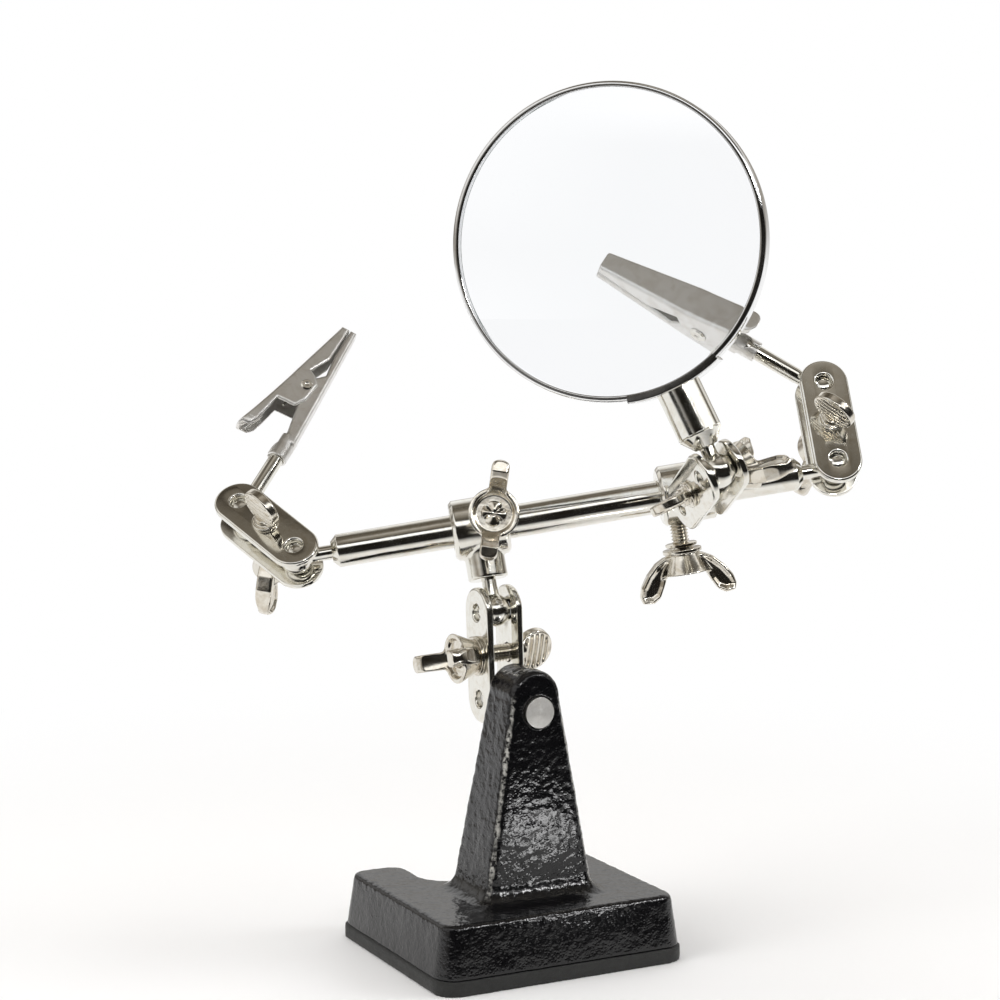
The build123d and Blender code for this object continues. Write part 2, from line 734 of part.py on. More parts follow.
def make_lens_socket():
    """Round stem between the cone and the saddle."""
    with BuildPart() as socket:
        with BuildSketch(Plane.YZ.offset(SOCKET_START)):
            Circle(SOCKET_RADIUS)
        extrude(amount=LENS_REACH - RIM_RADIUS - SOCKET_START + 1)
        with Locations((LENS_REACH, 0, 0)):
            Cylinder(RIM_RADIUS + SADDLE_WALL, 20, mode=Mode.SUBTRACT)
        with BuildSketch(Plane.YZ.offset(SOCKET_START)):
            Circle(NECK_RADIUS + 0.4 + RUNNING_GAP)
        extrude(amount=5.3, mode=Mode.SUBTRACT)
    return socket.part


def make_lens_saddle():
    """Channel round the lowest part of the rim."""
    half_width = RIM_WIDTH / 2 + SADDLE_WALL
    arc = 2 * SADDLE_HALF_ANGLE
    with BuildPart() as saddle:
        with BuildSketch(Plane.XZ):
            with Locations((LENS_REACH - RIM_RADIUS - SADDLE_WALL, 0)):
                Rectangle(
                    SADDLE_WALL + SADDLE_SIDE,
                    2 * half_width,
                    align=(Align.MIN, Align.CENTER),
                )
            with Locations((LENS_REACH - RIM_RADIUS, 0)):
                Rectangle(
                    SADDLE_SIDE + 1,
                    RIM_WIDTH,
                    align=(Align.MIN, Align.CENTER),
                    mode=Mode.SUBTRACT,
                )
        revolve(axis=Axis((LENS_REACH, 0, 0), (0, 0, 1)), revolution_arc=arc)
    turn = Pos(LENS_REACH, 0, 0) * Rot(0, 0, -arc / 2) * Pos(-LENS_REACH, 0, 0)
    return saddle.part.moved(turn)


def make_lens_rim():
    """Rolled rim: a ring with a lip on each side of the glass."""
    inner = RIM_RADIUS - RIM_WALL
    with BuildPart() as rim:
        with BuildSketch(Plane.XZ):
            with Locations((RIM_RADIUS, 0)):
                Rectangle(RIM_WALL + RIM_LIP, RIM_WIDTH, align=(Align.MAX, Align.CENTER))
            with Locations((inner, 0)):
                Rectangle(
                    RIM_LIP + 1,
                    GLASS_EDGE + 2 * GLASS_LIP_GAP,
                    align=(Align.MAX, Align.CENTER),
                    mode=Mode.SUBTRACT,
                )
        revolve(axis=Axis.Z)
        outer = rim.edges().filter_by(GeomType.CIRCLE).group_by(SortBy.RADIUS)[-1]
        fillet(outer, 0.5)
    return rim.part.moved(Pos(LENS_REACH, 0, 0))


def make_lens_glass():
    """Biconvex glass with a plain ground edge."""
    with BuildPart() as glass:
        with BuildSketch(Plane.XZ):
            with BuildLine():
                top = (0, GLASS_CENTRE / 2)
                bottom = (0, -GLASS_CENTRE / 2)
                edge_top = (GLASS_RADIUS, GLASS_EDGE / 2)
                edge_bottom = (GLASS_RADIUS, -GLASS_EDGE / 2)
                sag = (GLASS_CENTRE - GLASS_EDGE) / 2
                curve = (GLASS_RADIUS**2 + sag**2) / (2 * sag)
                Line(bottom, top)
                RadiusArc(top, edge_top, curve)
                Line(edge_top, edge_bottom)
                RadiusArc(edge_bottom, bottom, curve)
            make_face()
        revolve(axis=Axis.Z)
    return glass.part.moved(Pos(LENS_REACH, 0, 0))


# ---------------------------------------------------------------- assembly

os.makedirs("parts", exist_ok=True)

pin_ball = Vector(PIN_X, PIN_BALL_Y, PIN_Z)
clamp_line = Vector(0, 0, 1).rotate(Axis.Y, -CLAMP_LEAN_DEG)
clamp_normal = Vector(1, 0, 0).rotate(Axis.Y, -CLAMP_LEAN_DEG)
sleeve_ball = pin_ball + clamp_line * BALL_SPACING
stem_line = clamp_line.rotate(Axis((0, 0, 0), tuple(clamp_normal)), -SLEEVE_SWING_DEG)
sleeve_centre = sleeve_ball + stem_line * SLEEVE_BALL_REACH
bar_line = square_to(BAR_LINE, stem_line)
bar_centre = sleeve_centre + bar_line * MAIN_SLEEVE_TO_BAR_CENTRE
left_ball = bar_centre - bar_line * (BAR_LENGTH / 2 + BAR_BALL_REACH)
right_ball = bar_centre + bar_line * (BAR_LENGTH / 2 + BAR_BALL_REACH)
lens_sleeve_centre = sleeve_centre + bar_line * MAIN_TO_LENS_SLEEVE
lens_sleeve_stem = square_to(LENS_SLEEVE_STEM, bar_line)
lens_sleeve_ball = lens_sleeve_centre + lens_sleeve_stem * SLEEVE_BALL_REACH

save(make_base_casting(), "base_casting")
save(make_base_pad(), "base_pad")
save(make_base_pin(), "base_pin", frame(pin_ball, (1, 0, 0), (0, -1, 0)))
save_clamp("base", pin_ball, clamp_line, clamp_normal, ("right", "left"))

ball_stud = make_ball_stud(SLEEVE_BALL_REACH - SLEEVE_BOSS_END, STUD_SOCKET_DEPTH - 0.3)
sleeve = make_sleeve()
wing_screw = make_wing_screw()
save(ball_stud, "main_sleeve_ball", frame(sleeve_ball, bar_line, stem_line))
main_frame = frame(sleeve_centre, bar_line, -stem_line)
save(sleeve, "main_sleeve", main_frame)
main_screw_foot = main_frame.from_local_coords((SLEEVE_SCREW_X, 0, 0))
main_screw = frame(main_screw_foot, bar_line, main_frame.y_dir)
save(wing_screw, "main_sleeve_wing_screw", turned(main_screw, MAIN_WING_TURN_DEG))

save(make_cross_bar(), "cross_bar", frame(bar_centre, bar_line, stem_line))
bar_stud = make_ball_stud(BAR_BALL_REACH, STUD_SOCKET_DEPTH - 0.3)
save(bar_stud, "bar_left_ball", frame(left_ball, stem_line, bar_line))
save(bar_stud, "bar_right_ball", frame(right_ball, stem_line, -bar_line))

for name, ball, line, normal, clip_line, lever_side, plates in (
    (
        "left",
        left_ball,
        LEFT_CLAMP_LINE,
        LEFT_CLAMP_NORMAL,
        LEFT_CLIP_LINE,
        LEFT_LEVER_SIDE,
        ("upper", "lower"),
    ),
    (
        "right",
        right_ball,
        RIGHT_CLAMP_LINE,
        RIGHT_CLAMP_NORMAL,
        RIGHT_CLIP_LINE,
        RIGHT_LEVER_SIDE,
        ("near", "far"),
    ),
):
    save_clamp(name, ball, line, normal, plates)
    clip_ball = ball + square_to(line, normal) * BALL_SPACING
    save_clip(name, clip_ball, clip_line, lever_side)

save(ball_stud, "lens_sleeve_ball", frame(lens_sleeve_ball, bar_line, -lens_sleeve_stem))
lens_frame = frame(lens_sleeve_centre, -bar_line, lens_sleeve_stem)
save(sleeve, "lens_sleeve", lens_frame)
lens_screw_foot = lens_frame.from_local_coords((SLEEVE_SCREW_X, 0, 0))
lens_screw = frame(lens_screw_foot, bar_line, lens_frame.y_dir)
save(wing_screw, "lens_sleeve_wing_screw", turned(lens_screw, LENS_WING_TURN_DEG))

save_clamp("lens", lens_sleeve_ball, LENS_CLAMP_LINE, LENS_CLAMP_NORMAL, ("left", "right"))
lens_ball = lens_sleeve_ball + square_to(LENS_CLAMP_LINE, LENS_CLAMP_NORMAL) * BALL_SPACING
lens_stand = frame(lens_ball, LENS_STEM_LINE, square_to(LENS_FACE, LENS_STEM_LINE))
save(make_lens_ball(), "lens_ball", lens_stand)
save(make_lens_socket(), "lens_socket", lens_stand)
save(make_lens_saddle(), "lens_saddle", lens_stand)
save(make_lens_rim(), "lens_rim", lens_stand)
save(make_lens_glass(), "lens_glass", lens_stand)
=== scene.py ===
"""Looks for the helping hands clamp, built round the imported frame.

Every piece is made in millimetres in its own local frame, then stood in the row frame in metres.
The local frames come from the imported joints, so a piece goes where the frame says.
"""

import json
import math

import bpy
import numpy as np
import openvdb
from mathutils import Matrix, Vector, noise
from mathutils.geometry import tessellate_polygon


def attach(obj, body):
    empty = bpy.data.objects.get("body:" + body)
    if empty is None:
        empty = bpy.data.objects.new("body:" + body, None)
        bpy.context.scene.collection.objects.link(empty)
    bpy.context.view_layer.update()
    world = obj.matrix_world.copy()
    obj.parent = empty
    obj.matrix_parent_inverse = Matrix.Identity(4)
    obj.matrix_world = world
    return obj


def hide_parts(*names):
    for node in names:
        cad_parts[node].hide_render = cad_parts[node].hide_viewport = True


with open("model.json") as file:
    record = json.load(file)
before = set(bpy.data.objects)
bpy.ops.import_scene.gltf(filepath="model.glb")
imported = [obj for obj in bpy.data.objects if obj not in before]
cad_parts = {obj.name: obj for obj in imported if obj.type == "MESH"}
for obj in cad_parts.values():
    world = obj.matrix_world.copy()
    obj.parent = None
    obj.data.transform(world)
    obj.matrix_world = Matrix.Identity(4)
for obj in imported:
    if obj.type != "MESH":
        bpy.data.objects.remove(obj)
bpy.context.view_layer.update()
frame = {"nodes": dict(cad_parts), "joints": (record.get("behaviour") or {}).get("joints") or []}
joints = {joint["name"]: joint for joint in frame["joints"]}

MM = 0.001
TO_METRES = Matrix.Scale(MM, 4)

# Clamps, bar and sleeves, in millimetres like every size below
BALL_RADIUS = 3.6
NECK_RADIUS = 1.6
BALL_SPACING = 19.0
PLATE_HALF_GAP = 2.9
PLATE_OUTER = 4.4
PLATE_HALF_WIDTH = 5.35
EYE_RADIUS = 1.8
SCREW_RADIUS = 1.95
SPADE_HALF_WIDTH = 4.9
SPADE_HALF_HEIGHT = 4.3
THREAD_PITCH = 0.7
THREAD_DEPTH = 0.38
THREAD_CHAMFER = 0.35
BAR_RADIUS = 3.6
SLEEVE_RADIUS = 6.6
SLEEVE_HALF_LENGTH = 6.1
SLEEVE_BOSS_RADIUS = 4.35
SLEEVE_BOSS_END = 11.6
SCREW_FLANGE = 12.0
SLEEVE_SCREW_X = 2.8
RUNNING_GAP = 0.05

# Radius that stands for zero where a lathe's profile meets its axis
AXIS_GAP = 0.01

# Base casting: its foot, and the pillar's front face as a width and a depth that change with height
FOOT_TOP_Z = 14.2
PILLAR_X = 0.5
PILLAR_HALF_WIDTH = 13.6
PILLAR_WIDTH_Z = 10.2
PILLAR_SIDE_SLOPE = 0.168
PILLAR_FRONT_Y = -13.6
PILLAR_FRONT_Z = 9.2
PILLAR_FRONT_SLOPE = 0.048

# Clip, along its stud
STUD_END = 19.5
STUD_RADIUS = 1.7
CRIMP_START = 16.5
CRIMP_END = 22.6
CRIMP_RADIUS = 2.35
CLIP_TIP = 56.0
BITE_Y = 1.15
BITE_GAP = 0.15
TAIL_ROUND_X = 22.2
PIVOT_X = 36.0
PIVOT_Y = 2.7
RIVET_RADIUS = 0.9
SHEET = 0.6
CLIP_STEP = 0.13
TOOTH_PITCH = 1.3
TOOTH_COUNT = 6

# Magnifier, from its ball along its stem
LENS_REACH = 51.9
SOCKET_START = 8.4
RIM_RADIUS = 32.8
RIM_HALF_WIDTH = 2.7
SADDLE_WALL = 0.6
GLASS_RADIUS = 32.05
GLASS_HALF_EDGE = 2.2
GLASS_HALF_CENTRE = 5.0
SOCKET_RADIUS = 4.7
LENS_FACE = Vector((-0.690, -0.714, 0.120))

# Steepest smooth corner of a carved piece, in degrees
CAST_SHARP = 50

# Turn of each screw head at rest, in degrees
SPADE_TURN = {"base": 20.0, "left": 0.0, "right": 45.0, "lens": -9.0}
NUT_TURN = {"base": 104.0, "left": 60.0, "right": 35.0, "lens": 34.0}
MAIN_SCREW_TURN = 72.0


# ---------------- places

def place(name):
    """Where a joint stands, in millimetres."""
    return Vector(joints[name]["pos_m"]) / MM


def line(name):
    """A joint's unit axis."""
    return Vector(joints[name]["axis"]).normalized()


def stand(origin, x_line, z_line, turn=0.0):
    """The matrix from a local frame in millimetres to the row frame in metres."""
    z_line = z_line.normalized()
    x_line = (x_line - z_line * x_line.dot(z_line)).normalized()
    y_line = z_line.cross(x_line)
    turned = Matrix.Rotation(math.radians(turn), 4, "Z")
    local = Matrix((x_line, y_line, z_line)).transposed().to_4x4()
    local.translation = origin
    return TO_METRES @ local @ turned


# ---------------- shells
# A shell is (points, faces), a closed surface in millimetres.

def join(*shells):
    """Several shells as one."""
    points = []
    faces = []
    for shell_points, shell_faces in shells:
        start = len(points)
        points.extend(tuple(point) for point in shell_points)
        faces.extend(tuple(start + index for index in face) for face in shell_faces)
    return points, faces


def moved(shell, matrix):
    """A shell carried by a matrix."""
    points, faces = shell
    return [tuple(matrix @ Vector(point)) for point in points], faces


def along_x(shell):
    """A shell made along Z, laid along X."""
    return moved(shell, Matrix.Rotation(math.radians(90), 4, "Y"))


def ring_surface(rings, closed=False):
    """Quads between rings of equal length, with a cap on each end unless the rings close up."""
    count = len(rings[0])
    points = [point for ring in rings for point in ring]
    faces = []
    steps = len(rings) if closed else len(rings) - 1
    for i in range(steps):
        low = i * count
        high = ((i + 1) % len(rings)) * count
        for j in range(count):
            k = (j + 1) % count
            faces.append((low + j, low + k, high + k, high + j))
    if not closed:
        faces.append(tuple(reversed(range(count))))
        faces.append(tuple(range((len(rings) - 1) * count, len(rings) * count)))
    return points, faces


def circle(radius, height, count, centre=0.0):
    """A ring of points round a line along Z that stands at centre on the X axis."""
    angles = [2 * math.pi * i / count for i in range(count)]
    return [(centre + radius * math.cos(angle), radius * math.sin(angle), height) for angle in angles]


def lathe(profile, segments=96, closed=False):
    """A profile of (radius, height) turned round Z."""
    return ring_surface([circle(radius, height, segments) for radius, height in profile], closed)


def arc(centre, radius, start, end, steps=8):
    """Points of a circular arc in a profile, in degrees."""
    angles = [math.radians(start + (end - start) * i / steps) for i in range(steps + 1)]
    return [(centre[0] + radius * math.cos(angle), centre[1] + radius * math.sin(angle)) for angle in angles]


def thread(radius, start, end, segments=36, rows_per_turn=10):
    """A screw thread along Z with flat ends."""
    rows = max(2, int((end - start) / THREAD_PITCH * rows_per_turn))
    rings = [circle(2 * AXIS_GAP, start, segments)]
    for i in range(rows + 1):
        height = start + (end - start) * i / rows
        ring = []
        for j in range(segments):
            angle = 2 * math.pi * j / segments
            phase = (height / THREAD_PITCH - angle / (2 * math.pi)) % 1.0
            flank = abs(2 * phase - 1)
            cut = THREAD_DEPTH * min(1.0, max(0.0, 1.25 * flank - 0.1))
            near_end = min(height - start, end - height)
            reach = radius - cut - max(0.0, THREAD_CHAMFER - near_end)
            ring.append((reach * math.cos(angle), reach * math.sin(angle), height))
        rings.append(ring)
    rings.append(circle(2 * AXIS_GAP, end, segments))
    return ring_surface(rings)


def tube(path, radius, sides=14):
    """A round wire along a path of points."""
    path = [Vector(point) for point in path]
    side = (path[1] - path[0]).orthogonal().normalized()
    rings = []
    for i, point in enumerate(path):
        ahead = path[min(i + 1, len(path) - 1)] - path[max(i - 1, 0)]
        ahead.normalize()
        side = (side - ahead * side.dot(ahead)).normalized()
        up = ahead.cross(side)
        rings.append([tuple(point + side * x + up * y) for x, y, _ in circle(radius, 0.0, sides)])
    return ring_surface(rings)


# ---------------- distance fields
# Cast and pressed pieces are written as distance fields, so that their corners run into each other.

def soft_union(a, b, radius):
    """The nearer of two distances, with a fillet between them."""
    blend = np.clip(0.5 + 0.5 * (b - a) / radius, 0, 1)
    return b + (a - b) * blend - radius * blend * (1 - blend)


def soft_cut(a, b, radius):
    """The deeper of two distances, with a rounded corner between them."""
    return -soft_union(-a, -b, radius)


def outline_distance(points, x, y):
    """Signed distance to a closed outline, below zero inside."""
    points = np.array(points, float)
    best = np.full(x.shape, 1e9)
    inside = np.ones(x.shape)
    for i in range(len(points)):
        a = points[i]
        b = points[i - 1]
        edge_x, edge_y = b - a
        from_x = x - a[0]
        from_y = y - a[1]
        share = np.clip((from_x * edge_x + from_y * edge_y) / (edge_x**2 + edge_y**2), 0, 1)
        best = np.minimum(best, (from_x - edge_x * share) ** 2 + (from_y - edge_y * share) ** 2)
        above = y >= a[1]
        below = y < b[1]
        left = edge_x * from_y > edge_y * from_x
        flip = (above & below & left) | (~above & ~below & ~left)
        inside = np.where(flip, -inside, inside)
    return inside * np.sqrt(best)


def carve(field, low, high, step):
    """The surface of a distance field between two corners, as a shell."""
    margin = 3 * step
    axes = [np.arange(a - margin, b + margin, step) for a, b in zip(low, high)]
    x, y, z = np.meshgrid(*axes, indexing="ij")
    values = np.clip(field(x, y, z), -3 * step, 3 * step).astype(np.float32)
    grid = openvdb.FloatGrid(3 * step)
    grid.copyFromArray(values)
    points, quads = grid.convertToQuads(isovalue=0.0)
    points = points * step + np.array([axis[0] for axis in axes])
    corners = points[quads[:, :3]]
    volume = np.einsum("ij,ij->i", corners[:, 0], np.cross(corners[:, 1], corners[:, 2])).sum()
    if volume < 0:
        quads = quads[:, ::-1]
    return points.tolist(), quads.tolist()


# ---------------- pieces

def make_mesh(name, shell, sharp=35.0):
    """A mesh in millimetres with smooth shading, sharp where two faces meet steeply."""
    points, faces = shell
    mesh = bpy.data.meshes.new(name)
    mesh.from_pydata([tuple(point) for point in points], [], faces)
    mesh.update()
    mesh.shade_smooth()
    mesh.set_sharp_from_angle(angle=math.radians(sharp))
    return mesh


def add_object(name, data):
    """An object in the scene."""
    obj = bpy.data.objects.new(name, data)
    bpy.context.scene.collection.objects.link(obj)
    return obj


def piece(name, mesh, matrix, material, body, node):
    """Stands a mesh in the row frame in place of a CAD node. Its local millimetres stay as an attribute."""
    mesh = mesh.copy()
    mesh.name = name
    local = mesh.attributes.new("mm", "FLOAT_VECTOR", "POINT")
    flat = np.empty(len(mesh.vertices) * 3, np.float32)
    mesh.vertices.foreach_get("co", flat)
    local.data.foreach_set("vector", flat)
    mesh.transform(matrix)
    mesh.materials.clear()
    mesh.materials.append(material)
    obj = add_object(name, mesh)
    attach(obj, body)
    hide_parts(node)
    return obj


def refined(node, step):
    """A CAD node's surface as even small quads, in millimetres."""
    source = frame["nodes"][node].data.copy()
    source.transform(TO_METRES.inverted())
    holder = add_object("refine", source)
    remesh = holder.modifiers.new("even", "REMESH")
    remesh.mode = "VOXEL"
    remesh.voxel_size = step
    smooth = holder.modifiers.new("ease", "SMOOTH")
    smooth.iterations = 2
    evaluated = holder.evaluated_get(bpy.context.evaluated_depsgraph_get())
    mesh = bpy.data.meshes.new_from_object(evaluated)
    bpy.data.objects.remove(holder)
    mesh.materials.clear()
    mesh.shade_smooth()
    return mesh


def roughen(mesh, height):
    """Moves each vertex along its normal by height(point) millimetres."""
    normals = [vertex.normal.copy() for vertex in mesh.vertices]
    for vertex, normal in zip(mesh.vertices, normals):
        vertex.co += normal * height(vertex.co)
    mesh.update()


# ---------------- materials

# The colour sockets of a mix node
MIX_FROM = 6
MIX_TO = 7
MIX_COLOUR = 2


def wire(tree, value, socket):
    """Links a node's output to a socket, or sets the socket to a plain value."""
    if isinstance(value, bpy.types.NodeSocket):
        tree.links.new(value, socket)
    else:
        socket.default_value = value


def add_node(tree, kind, inputs=None, **settings):
    """A node with its settings made and its inputs wired or set."""
    node = tree.nodes.new(kind)
    for key, value in settings.items():
        setattr(node, key, value)
    for key, value in (inputs or {}).items():
        wire(tree, value, node.inputs[key])
    return node


def add_mix(tree, share, a, b, blend="MIX"):
    """A colour a share of the way from a to b, each a colour or a socket."""
    colours = [value if isinstance(value, bpy.types.NodeSocket) else (*value, 1) for value in (a, b)]
    inputs = {"Factor": share, MIX_FROM: colours[0], MIX_TO: colours[1]}
    node = add_node(tree, "ShaderNodeMix", inputs, data_type="RGBA", blend_type=blend)
    return node.outputs[MIX_COLOUR]


def add_ramp(tree, value, stops):
    """A value run through (position, colour) stops."""
    node = add_node(tree, "ShaderNodeValToRGB", {"Fac": value})
    elements = node.color_ramp.elements
    while len(elements) < len(stops):
        elements.new(0.5)
    for element, (position, colour) in zip(elements, stops):
        element.position = position
        element.color = (*colour, 1)
    return node.outputs["Color"]


class Shader:
    """A procedural material, wired from the piece's local millimetres."""

    def __init__(self, name, **values):
        self.material = bpy.data.materials.new(name)
        self.material.use_nodes = True
        self.tree = self.material.node_tree
        self.surface = self.tree.nodes["Principled BSDF"]
        self.out = self.tree.nodes["Material Output"].inputs
        for key, value in values.items():
            self.surface.inputs[key.replace("_", " ")].default_value = value
        self.mm = self.add("ShaderNodeAttribute", attribute_name="mm").outputs["Vector"]

    def add(self, kind, inputs=None, **settings):
        """A node of this material."""
        return add_node(self.tree, kind, inputs, **settings)

    def noise(self, scale, detail=3.0, roughness=0.5, stretch=(1, 1, 1), distortion=0.0):
        """Noise with features 1/scale millimetres across."""
        mapping = self.add("ShaderNodeMapping", {"Vector": self.mm, "Scale": stretch})
        inputs = {"Vector": mapping.outputs[0], "Scale": scale, "Detail": detail}
        inputs.update({"Roughness": roughness, "Distortion": distortion})
        return self.add("ShaderNodeTexNoise", inputs).outputs["Fac"]

    def cells(self, scale):
        """Distance to the middle of cells 1/scale millimetres across."""
        return self.add("ShaderNodeTexVoronoi", {"Vector": self.mm, "Scale": scale}).outputs["Distance"]

    def ramp(self, value, *stops):
        """A value run through (position, grey) stops."""
        return add_ramp(self.tree, value, [(position, (grey, grey, grey)) for position, grey in stops])

    def math(self, operation, a, b=0.0, c=0.0):
        """Arithmetic on values or sockets."""
        return self.add("ShaderNodeMath", {0: a, 1: b, 2: c}, operation=operation).outputs[0]

    def mix(self, share, a, b):
        """A mix of two colours in this material."""
        return add_mix(self.tree, share, a, b)

    def bump(self, height, depth_mm, normal=None):
        """A bump of a height between 0 and 1 that stands for depth_mm millimetres."""
        inputs = {"Height": height, "Distance": depth_mm * MM, "Strength": 1.0}
        if normal is not None:
            inputs["Normal"] = normal
        return self.add("ShaderNodeBump", inputs).outputs["Normal"]

    def set(self, name, value):
        """Sets or wires an input of the surface."""
        wire(self.tree, value, self.surface.inputs[name])


def plated(name, tint, smooth, ripple, dark_tint, grime=0.35):
    """Plated metal: a ripple in the plate, fine rubbing marks, dull smudges and brown patches."""
    shader = Shader(name, Metallic=1.0)
    smudge = shader.noise(0.16, 4, 0.6)
    patches = shader.noise(0.45, 3, 0.55, distortion=0.6)
    colour = shader.mix(shader.ramp(patches, (0.45, 0), (0.75, grime)), tint, dark_tint)
    shader.set("Base Color", colour)
    rubbed = shader.noise(9.0, 2, 0.6, stretch=(0.12, 1, 1))
    rough = shader.ramp(smudge, (0.35, smooth), (0.7, smooth + 0.09))
    rough = shader.math("ADD", rough, shader.math("MULTIPLY", rubbed, 0.05))
    shader.set("Roughness", rough)
    sway = shader.bump(shader.noise(0.10, 2, 0.5), ripple * 8)
    waves = shader.bump(shader.noise(0.55, 2, 0.5), ripple, sway)
    shader.set("Normal", waves)
    return shader.material


def hammered_paint():
    """Thick glossy black paint over rough iron, thin and grey along the high edges: the grey line there is
    partly worn paint and partly a painted highlight.
    """
    shader = Shader("hammered_black_paint", IOR=1.5)
    wear_and_highlight_noise = shader.noise(1.1, 4, 0.6)
    parts = shader.add("ShaderNodeSeparateXYZ", {"Vector": shader.mm})
    x, y, z = parts.outputs
    sideways = shader.math("ABSOLUTE", shader.math("SUBTRACT", x, PILLAR_X))
    width_at_zero = PILLAR_HALF_WIDTH + PILLAR_SIDE_SLOPE * PILLAR_WIDTH_Z
    front_at_zero = PILLAR_FRONT_Y - PILLAR_FRONT_SLOPE * PILLAR_FRONT_Z
    half_width = shader.math("MULTIPLY_ADD", z, -PILLAR_SIDE_SLOPE, width_at_zero)
    front = shader.math("MULTIPLY_ADD", z, PILLAR_FRONT_SLOPE, front_at_zero)
    from_side = shader.math("SUBTRACT", half_width, sideways)
    from_front = shader.math("SUBTRACT", y, front)
    off_edge = shader.math("ADD", shader.math("ABSOLUTE", from_side), shader.math("ABSOLUTE", from_front))
    edge = shader.ramp(shader.math("DIVIDE", off_edge, 4.0), (0.235, 1), (0.29, 0))
    above_foot = shader.ramp(shader.math("DIVIDE", z, 100.0), (0.15, 0), (0.18, 1), (0.55, 1), (0.575, 0))
    edge = shader.math("MULTIPLY", edge, above_foot)
    # Painted highlight and wear: the grey line along both front edges of the pillar stands partly for worn
    # paint and partly for the light that the rounded edges catch.
    wear_and_highlight = shader.math("MULTIPLY", edge, shader.ramp(wear_and_highlight_noise, (0.42, 0), (0.58, 1)))
    black = shader.mix(shader.noise(0.3, 3), (0.002, 0.002, 0.0025), (0.006, 0.006, 0.007))
    shader.set("Base Color", shader.mix(wear_and_highlight, black, (0.46, 0.45, 0.42)))
    shader.set("Roughness", shader.ramp(shader.noise(0.8, 4), (0.3, 0.10), (0.7, 0.18)))
    peel = shader.bump(shader.noise(0.95, 2, 0.4), 0.05)
    pits = shader.bump(shader.ramp(shader.cells(1.5), (0.0, 0), (0.5, 1)), 0.03, peel)
    shader.set("Normal", shader.bump(shader.noise(4.0, 2, 0.5), 0.010, pits))
    return shader.material


def foam_rubber():
    """Dense foam with open cells cut through at the sides, the pores painted dark as shade."""
    shader = Shader("foam_rubber")
    cells = shader.cells(5.0)
    shade = shader.mix(shader.noise(0.7, 4), (0.012, 0.012, 0.012), (0.030, 0.031, 0.029))
    # Painted shade: the middles of the cells, which the bump below sinks as pores, are painted near black.
    shader.set("Base Color", shader.mix(shader.ramp(cells, (0.1, 1), (0.3, 0)), shade, (0.004, 0.004, 0.004)))
    shader.set("Roughness", 0.86)
    shader.set("Sheen Weight", 0.15)
    grain = shader.bump(shader.ramp(cells, (0.0, 0), (0.35, 1)), 0.05)
    shader.set("Normal", shader.bump(shader.noise(3.0, 4, 0.65), 0.06, grain))
    return shader.material


def turned_steel():
    """A turned face: rings round the axis, a little dull."""
    shader = Shader("turned_steel", Metallic=1.0)
    parts = shader.add("ShaderNodeSeparateXYZ", {"Vector": shader.mm})
    x, y = parts.outputs["X"], parts.outputs["Y"]
    squares = shader.math("ADD", shader.math("MULTIPLY", x, x), shader.math("MULTIPLY", y, y))
    radius = shader.math("SQRT", squares)
    rings = shader.add(
        "ShaderNodeTexNoise",
        {"W": shader.math("MULTIPLY", radius, 9.0), "Scale": 1.0, "Detail": 3.0},
        noise_dimensions="1D",
    ).outputs["Fac"]
    tone = shader.mix(rings, (0.74, 0.73, 0.70), (0.90, 0.885, 0.85))
    stains = shader.ramp(shader.noise(0.9, 4, 0.6), (0.42, 0.0), (0.72, 0.35))
    shader.set("Base Color", shader.mix(stains, tone, (0.55, 0.52, 0.47)))
    shader.set("Roughness", shader.ramp(rings, (0.3, 0.30), (0.7, 0.42)))
    shader.set("Normal", shader.bump(rings, 0.02))
    return shader.material


def lens_glass():
    """Clear glass that absorbs a little red, so its thick edge looks green."""
    shader = Shader("lens_glass", Base_Color=(0.985, 0.987, 1.0, 1), IOR=1.5, Specular_IOR_Level=0.2)
    shader.set("Transmission Weight", 1.0)
    smear = shader.noise(0.08, 3, 0.6, stretch=(1, 0.4, 1))
    shader.set("Roughness", shader.ramp(smear, (0.5, 0.0), (0.85, 0.035)))
    shader.set("Normal", shader.bump(shader.noise(0.15, 2), 0.0006))
    absorb = shader.add("ShaderNodeVolumeAbsorption", {"Color": (0.90, 0.97, 0.96, 1), "Density": 14.0})
    shader.tree.links.new(absorb.outputs[0], shader.out["Volume"])
    return shader.material


def ground_glass():
    """The lens's ground edge: pale grey-green and matt."""
    shader = Shader("ground_glass_edge", Roughness=0.55, IOR=1.5)
    tone = shader.mix(shader.noise(0.6, 3), (0.30, 0.40, 0.35), (0.42, 0.50, 0.46))
    shader.set("Base Color", tone)
    shader.set("Normal", shader.bump(shader.noise(4.0, 3), 0.02))
    return shader.material


NICKEL = plated("bright_nickel", (0.80, 0.785, 0.73), 0.05, 0.010, (0.58, 0.50, 0.37))
CAST_NICKEL = plated("cast_nickel", (0.74, 0.705, 0.63), 0.09, 0.030, (0.46, 0.38, 0.26), 0.6)
PRESSED_NICKEL = plated("pressed_nickel", (0.80, 0.79, 0.765), 0.32, 0.010, (0.56, 0.52, 0.46), 0.5)
CHROME = plated("rim_chrome", (0.84, 0.84, 0.84), 0.04, 0.006, (0.60, 0.60, 0.58), 0.3)
SPRING = plated("spring_wire", (0.55, 0.52, 0.47), 0.20, 0.006, (0.36, 0.32, 0.26), 0.6)
PAINT = hammered_paint()
FOAM = foam_rubber()
TURNED = turned_steel()
GLASS = lens_glass()
GROUND_EDGE = ground_glass()


# ---------------- base

def casting_height(point):
    """The lumps of a rough sand casting under thick paint."""
    lumps = noise.noise(point * 0.75) * 0.085 + noise.noise(point * 1.6) * 0.04
    thick_paint = 1 - 0.6 * min(max((FOOT_TOP_Z - 1 - point.z) / 3, 0), 1)
    return lumps * thick_paint + noise.noise(point * 0.2) * 0.10


def pad_height(point):
    """The uneven sides of soft foam."""
    return noise.noise(point * 1.3) * 0.05 + noise.noise(point * 0.35) * 0.06


